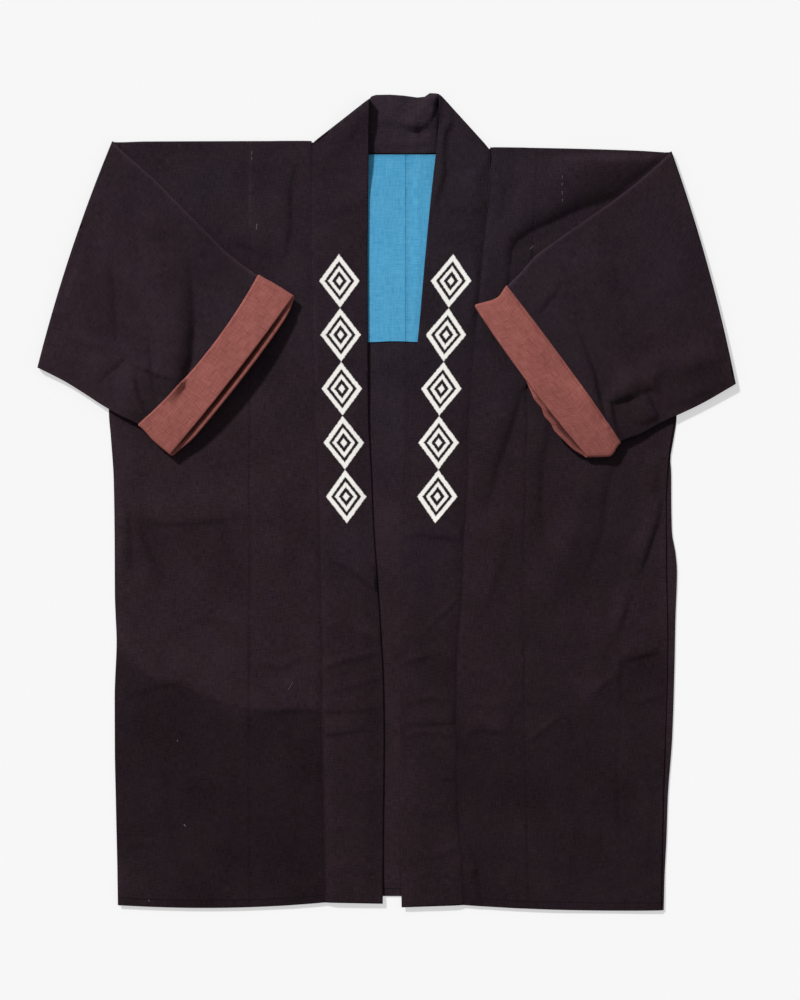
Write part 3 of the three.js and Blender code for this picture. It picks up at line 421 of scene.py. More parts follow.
def grid_quads(rows, cols, base=0, closed=False):
    i, j = np.meshgrid(np.arange(rows - 1), np.arange(cols if closed else cols - 1), indexing="ij")
    k = (j + 1) % cols
    a, b, c, d = base + i * cols + j, base + i * cols + k, base + (i + 1) * cols + k, base + (i + 1) * cols + j
    return np.stack([a, b, c, d], -1).reshape(-1, 4)


# ------------------------------------------------------------------- materials
def linear(rgb):
    return tuple((c / 255 / 12.92) if c / 255 <= 0.04045 else ((c / 255 + 0.055) / 1.055) ** 2.4 for c in rgb) + (1.0,)


class Graph:
    """Small helper that adds and joins shader nodes."""

    def __init__(self, name):
        self.mat = bpy.data.materials.new(name)
        self.mat.use_nodes = True
        self.tree = self.mat.node_tree
        self.nodes, self.links = self.tree.nodes, self.tree.links
        self.shader = self.nodes["Principled BSDF"]

    def put(self, socket, value):
        if isinstance(value, bpy.types.NodeSocket):
            self.links.new(value, socket)
        else:
            socket.default_value = value

    def math(self, op, a, b=0.0, c=0.0):
        n = self.nodes.new("ShaderNodeMath")
        n.operation = op
        for s, v in zip(n.inputs, (a, b, c)):
            self.put(s, v)
        return n.outputs[0]

    def uv(self, name):
        n = self.nodes.new("ShaderNodeUVMap")
        n.uv_map = name
        return n.outputs[0]

    def split(self, vector):
        n = self.nodes.new("ShaderNodeSeparateXYZ")
        self.put(n.inputs[0], vector)
        return n.outputs[0], n.outputs[1]

    def join(self, x, y, z=0.0):
        n = self.nodes.new("ShaderNodeCombineXYZ")
        for s, v in zip(n.inputs, (x, y, z)):
            self.put(s, v)
        return n.outputs[0]

    def noise(self, vector, scale=1.0, detail=2.0, rough=0.5):
        n = self.nodes.new("ShaderNodeTexNoise")
        self.put(n.inputs["Vector"], vector)
        n.inputs["Scale"].default_value = scale
        n.inputs["Detail"].default_value = detail
        n.inputs["Roughness"].default_value = rough
        return n.outputs["Fac"]

    def scaled(self, vector, sx, sy, ox=0.0, oy=0.0):
        n = self.nodes.new("ShaderNodeMapping")
        self.put(n.inputs["Vector"], vector)
        n.inputs["Scale"].default_value = (sx, sy, 1.0)
        n.inputs["Location"].default_value = (ox, oy, 0.0)
        return n.outputs[0]

    def attribute(self, name):
        n = self.nodes.new("ShaderNodeAttribute")
        n.attribute_name = name
        return n.outputs["Fac"]

    def mix(self, fac, a, b, mode="MIX"):
        n = self.nodes.new("ShaderNodeMix")
        n.data_type = "RGBA"
        n.blend_type = mode
        self.put(n.inputs["Factor"], fac)
        self.put(n.inputs["A"], a) if isinstance(a, bpy.types.NodeSocket) else None
        ins = [s for s in n.inputs if s.type == "RGBA"]
        self.put(ins[0], a)
        self.put(ins[1], b)
        return [s for s in n.outputs if s.type == "RGBA"][0]

    def smoothstep(self, value, low, high):
        n = self.nodes.new("ShaderNodeMapRange")
        n.interpolation_type = "SMOOTHSTEP"
        self.put(n.inputs["Value"], value)
        n.inputs["From Min"].default_value = low
        n.inputs["From Max"].default_value = high
        return n.outputs["Result"]

    def bump(self, height, distance, strength=1.0):
        n = self.nodes.new("ShaderNodeBump")
        self.put(n.inputs["Height"], height)
        n.inputs["Distance"].default_value = distance
        n.inputs["Strength"].default_value = strength
        return n.outputs[0]


def cloth_material(name, dark, light, rough=0.95, specular=0.03, sheen=0.0, sheen_tint=(1, 1, 1, 1),
                   thread=0.00055, slub=0.5, blotch=0.5, bump=0.000022, motif=False, stitches=(), tinted=False, mottled=True):
    g = Graph(name)
    uv = g.uv("cloth")
    t = 1.0 / thread
    warp = g.noise(g.scaled(uv, t, t / 16, 3.1, 1.7), detail=1.0)
    weft = g.noise(g.scaled(uv, t / 16, t, 7.3, 5.9), detail=1.0)
    streak_u = g.noise(g.scaled(uv, t / 1.8, 22.0, 11.0, 2.0), detail=2.0, rough=0.6)
    streak_v = g.noise(g.scaled(uv, 26.0, t / 1.8, 1.0, 13.0), detail=2.0, rough=0.6)
    fine = g.math("ADD", warp, weft)
    long = g.math("ADD", streak_u, streak_v)
    weave = g.math("ADD", g.math("MULTIPLY", g.math("SUBTRACT", fine, 1.0), 1.1),
                   g.math("MULTIPLY", g.math("SUBTRACT", long, 1.0), 0.8 * slub))
    patches = g.noise(uv, scale=14.0, detail=4.0, rough=0.62)
    tone = g.math("ADD", g.math("ADD", 0.5, weave), g.math("MULTIPLY", g.math("SUBTRACT", patches, 0.5), blotch))
    tone = g.math("MINIMUM", g.math("MAXIMUM", tone, 0.0), 1.0)
    colour = g.mix(tone, dark, light)
    if mottled:
        # the old dye has gone brown in places and violet in others, and lint lies on it
        hue = g.smoothstep(g.noise(g.scaled(uv, 1.0, 1.0, 4.2, 8.8), scale=26.0, detail=3.0, rough=0.6), 0.36, 0.64)
        colour = g.mix(1.0, colour, g.mix(hue, (1.018, 1.02, 0.965, 1), (1.002, 0.975, 1.025, 1)), "MULTIPLY")
        lint = g.smoothstep(g.noise(uv, scale=900.0, detail=1.0), 0.735, 0.80)
        colour = g.mix(g.math("MULTIPLY", lint, 0.22), colour, linear((150, 138, 140)))
    shade = g.attribute("shade")
    grey = g.join(shade, shade, shade)
    colour = g.mix(1.0, colour, grey, "MULTIPLY")
    if tinted:
        colour = g.mix(g.attribute("tint"), colour, g.mix(1.0, colour, (0.93, 1.05, 1.13, 1), "MULTIPLY"))
    height = g.math("ADD", g.math("MULTIPLY", fine, 0.5), g.math("MULTIPLY", long, 0.35))
    roughness = g.math("ADD", rough - 0.04, g.math("MULTIPLY", patches, 0.08))
    for s in stitches:
        # a row of machine stitches at a distance from an edge
        d = g.attribute(s["edge"])
        line = g.math("SUBTRACT", 1.0, g.smoothstep(g.math("ABSOLUTE", g.math("SUBTRACT", d, s["at"])), 0.0, s["width"]))
        u, v = g.split(uv)
        run = g.math("PINGPONG", u if s["along"] == "u" else v, s["pitch"] / 2)
        dash = g.smoothstep(run, s["pitch"] * 0.06, s["pitch"] * 0.16)
        mask = g.math("MULTIPLY", line, dash)
        colour = g.mix(g.math("MULTIPLY", mask, s["amount"]), colour, s["colour"])
        height = g.math("SUBTRACT", height, g.math("MULTIPLY", line, s["depth"]))
    if motif:
        colour, height, roughness = lozenges(g, colour, height, roughness, uv)
    g.put(g.shader.inputs["Base Color"], colour)
    g.put(g.shader.inputs["Roughness"], roughness)
    g.shader.inputs["Specular IOR Level"].default_value = specular
    g.shader.inputs["Sheen Weight"].default_value = sheen
    g.shader.inputs["Sheen Roughness"].default_value = 0.5
    g.shader.inputs["Sheen Tint"].default_value = sheen_tint
    g.put(g.shader.inputs["Normal"], g.bump(height, bump))
    return g.mat


def lozenges(g, colour, height, roughness, uv):
    """A plain column of nested lozenges, an old textile pattern, dyed out of the cloth."""
    a, b = g.split(g.uv("motif"))          # a: -1..1 across the figure, b: figures along
    wob = g.math("MULTIPLY", g.math("SUBTRACT", g.noise(uv, scale=420.0, detail=2.0), 0.5), 0.10)
    cell = g.math("SUBTRACT", g.math("MULTIPLY", g.math("PINGPONG", b, 0.5), 4.0), 1.0)   # 1 mid figure, -1 at joins
    up = g.math("SUBTRACT", 1.0, g.math("MULTIPLY", g.math("ADD", cell, 1.0), 0.5))       # 0 mid figure, 1 at joins
    d = g.math("ADD", g.math("ADD", g.math("ABSOLUTE", a), up), wob)                      # 1 on the outline

    def ring(centre, half, soft=0.035):
        q = g.math("ABSOLUTE", g.math("SUBTRACT", d, centre))
        return g.math("SUBTRACT", 1.0, g.smoothstep(q, half - soft, half + soft))
    mask = g.math("MAXIMUM", ring(0.86, 0.125), ring(0.46, 0.095))
    core = g.math("SUBTRACT", 1.0, g.smoothstep(d, 0.13, 0.20))
    mask = g.math("MAXIMUM", mask, core)
    inside = g.math("MULTIPLY", g.smoothstep(b, -0.002, 0.002), g.math("SUBTRACT", 1.0, g.smoothstep(b, MOTIF_COUNT - 0.002, MOTIF_COUNT + 0.002)))
    mask = g.math("MULTIPLY", mask, inside)
    grain = g.noise(g.scaled(uv, 2400.0, 160.0), detail=2.0)
    white = g.mix(g.math("MULTIPLY", grain, 0.8), linear((252, 250, 245)), linear((214, 209, 203)))
    colour = g.mix(g.math("MULTIPLY", mask, 0.97), colour, white)
    height = g.math("ADD", height, g.math("MULTIPLY", mask, 0.9))
    return colour, height, roughness


MOTIF_COUNT = 5.0
THREAD_DARK = linear((16, 12, 16))
DARK_DARK, DARK_LIGHT = linear((24, 16, 20)), linear((50, 39, 44.5))
hem_row = dict(edge="hem", at=0.0085, width=0.0011, pitch=0.0034, along="u", amount=0.75, colour=THREAD_DARK, depth=1.4)
body_mat = cloth_material("dark_body", DARK_DARK, DARK_LIGHT, sheen=0.0, sheen_tint=(0.8, 0.72, 0.76, 1),
                          blotch=0.75, stitches=[hem_row], tinted=True)
collar_mat = cloth_material("dark_collar", DARK_DARK, DARK_LIGHT, sheen=0.0, sheen_tint=(0.8, 0.72, 0.78, 1),
                            blotch=0.7, motif=True, tinted=True,
                            stitches=[dict(edge="seam", at=0.0018, width=0.0007, pitch=0.0032, along="v", amount=0.5, colour=THREAD_DARK, depth=1.0)])
sleeve_mat = cloth_material("dark_sleeve", DARK_DARK, DARK_LIGHT, sheen=0.0, sheen_tint=(0.8, 0.72, 0.76, 1), blotch=0.75, tinted=True)
lining_mat = cloth_material("blue_lining", linear((54, 134, 178)), linear((92, 166, 203)), rough=0.9, specular=0.05, bump=0.00004,
                            thread=0.0007, slub=0.8, blotch=0.35, mottled=False)
cuff_mat = cloth_material("brown_cuff", linear((114, 61, 56)), linear((156, 95, 89)), rough=0.9, specular=0.05, bump=0.00005,
                          thread=0.0008, slub=0.65, blotch=0.35, mottled=False,
                          stitches=[dict(edge="hem", at=0.0032, width=0.0009, pitch=0.003, along="v", amount=0.5, colour=linear((92, 46, 42)), depth=1.0)])


def plain_material(name, colour, rough=0.9):
    g = Graph(name)
    n = g.noise(g.uv("cloth"), scale=900.0, detail=2.0)
    g.put(g.shader.inputs["Base Color"], g.mix(n, tuple(c * 0.85 for c in colour[:3]) + (1,), colour))
    g.shader.inputs["Roughness"].default_value = rough
    g.put(g.shader.inputs["Normal"], g.bump(n, 0.0001))
    return g.mat


# ---------------------------------------------------------------- plan of fronts
LINES = dict(leftSide=hermite(LEFT_SIDE), rightSide=hermite(RIGHT_SIDE), rightFront=hermite(RIGHT_FRONT),
             leftSeam=hermite(LEFT_SEAM), rightSeam=hermite(RIGHT_SEAM), leftFree=hermite(LEFT_FREE),
             rightFree=hermite(RIGHT_FREE), leftPress=hermite(LEFT_PRESS), rightPress=hermite(RIGHT_PRESS))
TOP_Y, LOW_Y = 404.0, -463.0


def height_at(y, hem, shoulder):
    low = np.clip((-240 - y) / (-240 - LOW_Y), 0, 1)
    high = np.clip((y - 290) / (TOP_Y - 290), 0, 1)
    return y + low * (hem - LOW_Y) + high * (shoulder - TOP_Y)


def shade_at(x, y, side=""):
    """Slow tone change over the coat: a painted light falloff, lighter near the top left, darker low and right, plus
    the tone patches and tone lines.
    """
    x, y = np.asarray(x, float), np.asarray(y, float)
    t = 0.97 + 0.04 * (y / 450.0) - 0.085 * (x / 330.0)
    t = t + 0.03 * noise(x, y, 120.0, 41) + 0.03 * noise(x, y, 45.0, 42) + 0.03 * noise(x, y, 14.0, 43)
    for p in TONES:
        q = ((x - p["place"][0]) / p["size"][0]) ** 2 + ((y - p["place"][1]) / p["size"][1]) ** 2
        t = t + p["amount"] * np.exp(-q)
    for p in TONE_LINES:
        if p["side"] == side:
            px_, py_ = np.array(p["line"], float).T
            edge = np.interp(x, px_, py_) + 2.0 * noise(x, y, 20.0, 44)
            soft = np.interp(x, *np.array(p["soft"], float).T)
            amount = np.interp(x, *np.array(p["amount"], float).T) if isinstance(p["amount"], tuple) else p["amount"]
            # how the painted shade and dye darkening below the line falls off with distance
            line_falloff = np.exp(-(np.maximum(edge - y, 0.0) / p["reach"]) ** 2) if "reach" in p else 1.0
            t = t * lerp(1.0, amount, smooth(0.5 + (edge - y) / soft) * line_falloff)
    return t


VIOLET = [(at(428, 550), 36.0, 52.0, 0.85), (at(346, 548), 32.0, 46.0, 0.55), (at(388, 372), 30.0, 70.0, 0.55),
          (at(388, 450), 26.0, 50.0, 0.5), (at(612, 528), 30.0, 60.0, 0.45), (at(672, 262), 62.0, 70.0, 0.6),
          (at(190, 190), 110.0, 40.0, 0.3)]


def tint_at(x, y):
    """Where the dye leans to violet: about the neck and the right shoulder."""
    x, y = np.asarray(x, float), np.asarray(y, float)
    t = smooth((y + 20.0) / 260.0) * np.maximum(np.exp(-((x - 80.0) / 150.0) ** 2), 0.55 * np.exp(-((x + 90.0) / 230.0) ** 2))
    for (px_, py_), sx, sy, amount in VIOLET:
        t = t + amount * np.exp(-((x - px_) / sx) ** 2 - ((y - py_) / sy) ** 2)
    return np.clip(t + 0.25 * noise(x, y, 50.0, 45) * t, 0.0, 1.0)


def sleeve_weight(side, x, y):
    """1 where a folded sleeve lies on the front, falling to 0 about it."""
    spec = SLEEVES[side]
    corner = np.array(spec["fold_top"])
    far = np.array(spec["end_top"])
    low = np.array(spec["end_bottom"])
    n1 = np.array([-(far - corner)[1], (far - corner)[0]]) / np.hypot(*(far - corner))
    if n1[1] > 0:
        n1 = -n1
    n2 = np.array([-(low - far)[1], (low - far)[0]]) / np.hypot(*(low - far))
    if n2[0] * spec["outward"] < 0:
        n2 = -n2
    d1 = (x - corner[0]) * n1[0] + (y - corner[1]) * n1[1]
    d2 = (x - far[0]) * n2[0] + (y - far[1]) * n2[1]
    fold_low = np.array(spec["fold_bottom"])
    n3 = np.array([-(fold_low - low)[1], (fold_low - low)[0]]) / np.hypot(*(fold_low - low))
    if n3[1] < 0:
        n3 = -n3
    d3 = (x - low[0]) * n3[0] + (y - low[1]) * n3[1]
    return np.minimum(np.minimum(d1, d2), d3)


# Sleeve edges in plan, from the fold (k 0) through the cuff's open edge (k 3) to
# the cuff's end (k 4).
LEFT_TOP = [dict(k=0.0, p=at(112.2, 141.0)), dict(k=0.55, p=at(132.7, 159.5)), dict(k=1.0, p=at(153.0, 177.3)),
            dict(k=1.5, p=at(178.6, 202.9)), dict(k=2.0, p=at(204.0, 228.4)), dict(k=2.5, p=at(229.6, 253.9)),
            dict(k=3.0, p=at(258.9, 275.4)), dict(k=3.5, p=at(276.0, 285.0)), dict(k=4.0, p=at(293.0, 295.6))]
LEFT_BOTTOM = [dict(k=0.0, p=at(37.2, 368.0)), dict(k=1.0, p=at(65.9, 382.7)), dict(k=1.5, p=at(84.3, 394.1)),
               dict(k=2.0, p=at(102.0, 405.6)), dict(k=2.5, p=at(120.0, 416.0)), dict(k=3.0, p=at(138.8, 425.0)),
               dict(k=3.5, p=at(154.0, 440.5)), dict(k=4.0, p=at(169.8, 454.0))]
RIGHT_TOP = [dict(k=0.0, p=at(671.6, 151.2)), dict(k=0.5, p=at(645.0, 175.0)), dict(k=1.0, p=at(620.0, 195.0)),
             dict(k=1.5, p=at(592.5, 214.6)), dict(k=2.0, p=at(556.7, 239.5)), dict(k=2.4, p=at(535.0, 255.8)),
             dict(k=2.75, p=at(519.0, 273.5)), dict(k=3.0, p=at(506.5, 286.2)), dict(k=3.35, p=at(496.8, 298.6)),
             dict(k=4.0, p=at(474.9, 305.8))]
RIGHT_BOTTOM = [dict(k=0.0, p=at(736.0, 384.5)), dict(k=1.0, p=at(700.4, 404.9)), dict(k=1.5, p=at(677.0, 416.0)),
                dict(k=2.0, p=at(659.0, 424.4)), dict(k=2.5, p=at(640.5, 434.5)), dict(k=3.0, p=at(620.3, 442.5)),
                dict(k=3.5, p=at(609.0, 456.0)), dict(k=4.0, p=at(588.0, 456.6))]
# How a section bends in plan (away from the cuff), how high it is lifted and how
# far its two layers stand apart at their edges and in the middle.
SLEEVE_LIFT = [dict(k=0.0, rise=0.0, gap=1.5, belly=0.3), dict(k=1.0, rise=-1.2, gap=1.6, belly=1.2),
               dict(k=2.0, rise=0.2, gap=2.0, belly=2.4), dict(k=2.5, rise=2.6, gap=2.4, belly=3.2), dict(k=3.0, rise=6.0, gap=3.0, belly=4.0),
               dict(k=3.5, rise=7.4, gap=3.4, belly=4.6), dict(k=4.0, rise=8.4, gap=3.6, belly=5.0)]
LEFT_BOW = [dict(k=0.0, bow=5.0), dict(k=1.0, bow=3.0), dict(k=2.0, bow=-1.0), dict(k=3.0, bow=-10.0), dict(k=3.5, bow=-6.0), dict(k=4.0, bow=-3.0)]
RIGHT_BOW = [dict(k=0.0, bow=5.0), dict(k=1.0, bow=3.0), dict(k=2.0, bow=1.5), dict(k=3.0, bow=1.5), dict(k=3.5, bow=-1.0), dict(k=4.0, bow=-4.0)]
# How far the cuff's lower layer shows past the upper one, from its top corner (c 0) to its low corner (c 1).
LEFT_PULL = [dict(c=0.0, reach=2.0), dict(c=0.06, reach=6.0), dict(c=0.15, reach=8.0), dict(c=0.5, reach=9.0), dict(c=0.85, reach=8.5), dict(c=1.0, reach=3.5)]
RIGHT_PULL = [dict(c=0.0, reach=-2.0), dict(c=0.42, reach=-2.0), dict(c=0.53, reach=2.2), dict(c=0.60, reach=5.6), dict(c=0.645, reach=5.0),
              dict(c=0.70, reach=8.4), dict(c=0.745, reach=7.6), dict(c=0.79, reach=9.8), dict(c=0.85, reach=8.6), dict(c=0.92, reach=7.2), dict(c=1.0, reach=2.0)]
SLEEVES = dict(
    left=dict(outward=-1, top=LEFT_TOP, bottom=LEFT_BOTTOM, armhole_top=(-306.9, 412.6), armhole_bottom=(-318.45, 149.0),
              fold_top=LEFT_TOP[0]["p"], fold_bottom=LEFT_BOTTOM[0]["p"], end_top=LEFT_TOP[-1]["p"], end_bottom=LEFT_BOTTOM[-1]["p"],
              creases=LEFT_SLEEVE_CREASES, seed=21, bow=LEFT_BOW, pull=LEFT_PULL),
    right=dict(outward=1, top=RIGHT_TOP, bottom=RIGHT_BOTTOM, armhole_top=(319.8, 400.9), armhole_bottom=(333.9, 149.0),
               fold_top=RIGHT_TOP[0]["p"], fold_bottom=RIGHT_BOTTOM[0]["p"], end_top=RIGHT_TOP[-1]["p"], end_bottom=RIGHT_BOTTOM[-1]["p"],
               creases=RIGHT_SLEEVE_CREASES, seed=31, bow=RIGHT_BOW, pull=RIGHT_PULL),
)
FOLD_RADIUS = 2.9
SLEEVE_BASE = 1.5


def front_z(side, x, y):
    """Middle height of a front over plan points."""
    edge = LINES["leftSide"](y) if side == "left" else LINES["rightFront"](y)
    din = np.abs(x - edge)
    hem_y = -465.0 if side == "left" else -468.0
    dh = y - hem_y
    side_z = SIDE_Z if side == "left" else lerp(3.3, SIDE_Z, smooth((y - 50.0) / 60.0))
    z = lerp(side_z + 0.5 * noise(y, x * 0.3, 60.0, 10), FRONT_Z, smooth(din / 30.0))
    z = lerp(HEM_Z + 0.7 * noise(x, y * 0.3, 70.0, 11), z, smooth(dh / 55.0))
    seam = LINES[side + "Seam"](y)
    ds = np.abs(x - seam)
    z = z - 0.25 * np.exp(-(ds / 5.0) ** 2)            # drawn down where the collar is sewn on
    lining = smooth((y - 176) / 14.0) * smooth((ds - 0) / 4.0) * smooth((46 - ds) / 10.0)
    z = z + 0.30 * lining
    creases = LEFT_CREASES if side == "left" else RIGHT_CREASES
    body = relief(x, y, creases, seed=3 if side == "left" else 4) + undulation(x, y, 5 if side == "left" else 6)
    fade = smooth(din / 10.0) * smooth(ds / 7.0) * smooth(dh / 9.0) * smooth(((412 if side == "left" else 402) - y) / 12.0)
    z = z + body * fade
    z = z + 0.22 * smooth((9.0 - dh) / 1.6) * smooth(dh / 1.0)  # the turned hem is doubled
    w = smooth(sleeve_weight(side, x, y) / 30.0)       # kept low under the folded sleeve
    return np.minimum(z, lerp(16.0, 3.9, w))


def back_z(x, y):
    z = BACK_Z + np.maximum(0.0, relief(x, y, BACK_CREASES, seed=8) + 0.10 * noise(x, y, 60.0, 9))
    z = z + 0.25 * np.exp(-((x - np.where(y > CENTRE_BEND, CENTRE_TOP, lerp(CENTRE_HEM, CENTRE_TOP, (y + 454) / 638.0))) / 2.2) ** 2)
    z = np.minimum(z, 1.05) + 0.9 * smooth((40.0 - (y + 458.0)) / 40.0)       # the hem stands up a little
    return z + 1.1 * smooth((x - 300.0) / 20.0) * smooth((110.0 - y) / 60.0)  # and so does the right side


# ------------------------------------------------------------------- the bodies
def body(side):
    inward = -1 if side == "left" else 1
    front_edge = LINES["leftSide"] if side == "left" else LINES["rightFront"]
    back_edge, seam, press = LINES[side + "Side"], LINES[side + "Seam"], LINES[side + "Press"]
    first = np.sort(np.concatenate([np.linspace(0, 1, 58), [0.0012, 0.985, 0.993]]))     # closer beside the press crease
    second = np.sort(np.concatenate([np.linspace(0, 1, 31)[1:], [0.015, 0.03, 0.9975]]))
    m = len(first) + len(second) - 1
    back_rows = np.sort(np.append(np.linspace(LOW_Y, TOP_Y, 110), LOW_Y + 0.25))[:, None]
    front_rows = np.sort(np.append(np.linspace(TOP_Y, LOW_Y, 340), LOW_Y + 0.25))[::-1][:, None]
    neck_y = hermite(LEFT_NECK if side == "left" else RIGHT_NECK, "x", "y")
    n_in = 23

    def line_y(y, x, edge):
        e, s = edge(y), seam(y)
        u = np.clip((x - e) / (s - e), 0, 1)
        bend = 4 * u * (1 - u)

        def along(t):
            return lerp(t[side + "Side"], t[side + "Seam"], u) + bend * (t[side + "Middle"] - (t[side + "Side"] + t[side + "Seam"]) / 2)
        return height_at(y, along(HEM), along(SHOULDER))

    # back, from hem to shoulder and neck seam
    seam_top = float(seam(TOP_Y)) + inward * 0.1
    y = back_rows
    edge = back_edge(y)
    mid = lerp(edge, seam_top, 0.69)
    x1 = np.concatenate([lerp(edge, mid, first), lerp(mid, seam_top, second)], 1)
    y1 = line_y(y, x1, back_edge)
    centre = lerp(CENTRE_HEM, CENTRE_TOP, np.clip((y + 454) / 638.0, 0, 1)) - inward * 0.2
    x2 = lerp(seam_top, centre, np.append(np.linspace(0, 1, n_in)[1:-1], [0.997, 1.0]))
    low = lerp(HEM[side + "Seam"], HEM["centre"], smooth(np.abs(x2 - seam_top) / 60.0))
    y2 = lerp(low, neck_y(x2) + 1.3, (y - LOW_Y) / (TOP_Y - LOW_Y))
    xb, yb = np.concatenate([x1, x2], 1), np.concatenate([y1, y2], 1)
    zb = back_z(xb, yb) + (0.07 if side == "right" else 0.0) * smooth((1.6 - np.abs(xb - centre)) / 1.2)
    shade_b = shade_at(xb, yb) * (1.0 + 0.20 * (np.abs(xb - centre) < 60)) * (1 - 0.14 * np.exp(-((xb - centre) / 1.6) ** 2))
    if side == "right":
        shade_b = shade_b * (1.0 + 0.28 * smooth((xb - 300.0) / 12.0) * smooth((120.0 - yb) / 40.0))
    hem_b = np.broadcast_to((y - LOW_Y) * MM, xb.shape)
    cols = xb.shape[1]
    # front, from shoulder to hem
    y = front_rows
    edge, fold, sewn = front_edge(y), press(y), seam(y) - inward * 0.35
    xf = np.concatenate([lerp(edge, fold, first), lerp(fold, sewn, second)], 1)
    yf = line_y(y, xf, front_edge)
    zf = front_z(side, xf, yf)
    sh = shade_at(xf, yf, side)
    sh = sh * (1 - (0.06 + 0.17 * smooth((40.0 - yf) / 80.0)) * np.exp(-((xf - seam(y)) / 1.5) ** 2))   # the collar seam's line
    from_side = np.abs(xf - edge)
    # lighter strip along the lower part of each front's outer edge: worn cloth at the fold together with a painted
    # highlight on the rolled edge
    worn_and_lit_edge = (0.20 if side == "left" else 0.13) * (1 + 0.5 * noise(xf, yf, 24.0, 61))
    sh = sh * (1 + worn_and_lit_edge * np.exp(-(from_side / 9.0) ** 2) * smooth((140.0 - yf) / 60.0))
    # line of the press crease: painted shade darkening the crease, and lighter along its upper part on the left front
    press_top_lighter = 0.42 * smooth((yf - 306) / 14.0) if side == "left" else 0.0
    sh = sh * (1 + (press_top_lighter - 0.17) * np.exp(-((xf - fold) / 1.5) ** 2))        # line of the press crease
    sh = sh * (1 - 0.12 * np.exp(-((yf - HEM[side + "Middle"] - 9.0) / 1.3) ** 2))   # hem's turned edge
    hem_f = np.broadcast_to((y - LOW_Y) * MM, xf.shape)
    # the roll over the shoulder joins the two
    steps = 6
    xs, ys = xf[0], yf[0]
    z0, z1 = zb[-1, :m + 1], zf[0]
    roll = []
    for i in range(1, steps + 1):
        a = math.pi * i / (steps + 1)
        rad = (z1 - z0) / 2
        roll.append(np.stack([xs, ys + rad * math.sin(a) * 1.1, z0 + rad * (1 - math.cos(a))], -1))
    points = np.concatenate([np.stack([xb, yb, zb], -1).reshape(-1, 3), np.concatenate(roll),
                             np.stack([xf, yf, zf], -1).reshape(-1, 3)])
    uv = np.concatenate([np.stack([xb, yb], -1).reshape(-1, 2),
                         np.concatenate([np.stack([xs, ys + (i + 1) * 1.2], -1) for i in range(steps)]),
                         np.stack([xf, yf + 3.0], -1).reshape(-1, 2)]) * MM
    hem = np.concatenate([hem_b.ravel(), np.ones(steps * (m + 1)), hem_f.ravel()])
    shade = np.concatenate([shade_b.ravel(), np.tile(sh[0], steps), sh.ravel()])
    nb = len(back_rows)
    quads = [grid_quads(nb, cols)]
    base = nb * cols
    top = (nb - 1) * cols + np.arange(m + 1)
    first_roll = base + np.arange(m + 1)
    quads.append(np.stack([top[:-1], top[1:], first_roll[1:], first_roll[:-1]], -1))
    quads.append(grid_quads(steps + len(front_rows), m + 1, base))
    return mesh_piece("body_%s_cloth" % side, points, np.concatenate(quads), uv, body_mat,
                      dict(hem=hem, shade=shade, tint=tint_at(points[:, 0], points[:, 1])), CLOTH)


# ------------------------------------------------------------------- the lining
def lining(side):
    inward = -1 if side == "left" else 1
    seam_x = float(LINES[side + "Seam"](347.0))
    steps = np.concatenate([[0.0, 0.002], np.linspace(0, 1, 46)[1:-1], [0.998, 1.0]])
    xs = lerp(CENTRE_TOP + inward * 0.1, seam_x + inward * 40, steps)
    ys = lerp(184.0, 399.4, np.concatenate([[0.0, 0.0012], np.linspace(0, 1, 54)[1:-1], [0.9988, 1.0]]))
    gx, gy = np.meshgrid(xs, ys)
    gy = gy - 0.6 * smooth((200 - gy) / 16.0) * noise(gx, gy, 30.0, 15)
    z = LINING_Z + np.clip(relief(gx, gy, LINING_CREASES, wobble=1.0, seed=12) + 0.08 * noise(gx, gy, 40.0, 13), -0.05, 0.6)
    z = z + 0.35 * np.exp(-((gx - CENTRE_TOP) / 1.8) ** 2) + np.maximum(0.0, back_z(gx, gy) - 0.62)
    shade = 1.0 + 0.03 * noise(gx, gy, 60.0, 14) - 0.10 * np.exp(-((gx - CENTRE_TOP) / 0.9) ** 2)
    # painted shadow along the lining's top edge, under the collar behind the neck
    shade = shade - 0.20 * np.exp(-((gy - 399.0) / 2.4) ** 2)
    uv = np.stack([gx * MM, gy * MM], -1)
    return mesh_piece("lining_%s_cloth" % side, np.stack([gx, gy, z], -1), grid_quads(len(ys), len(xs)), uv,
                      lining_mat, dict(shade=shade), CLOTH)


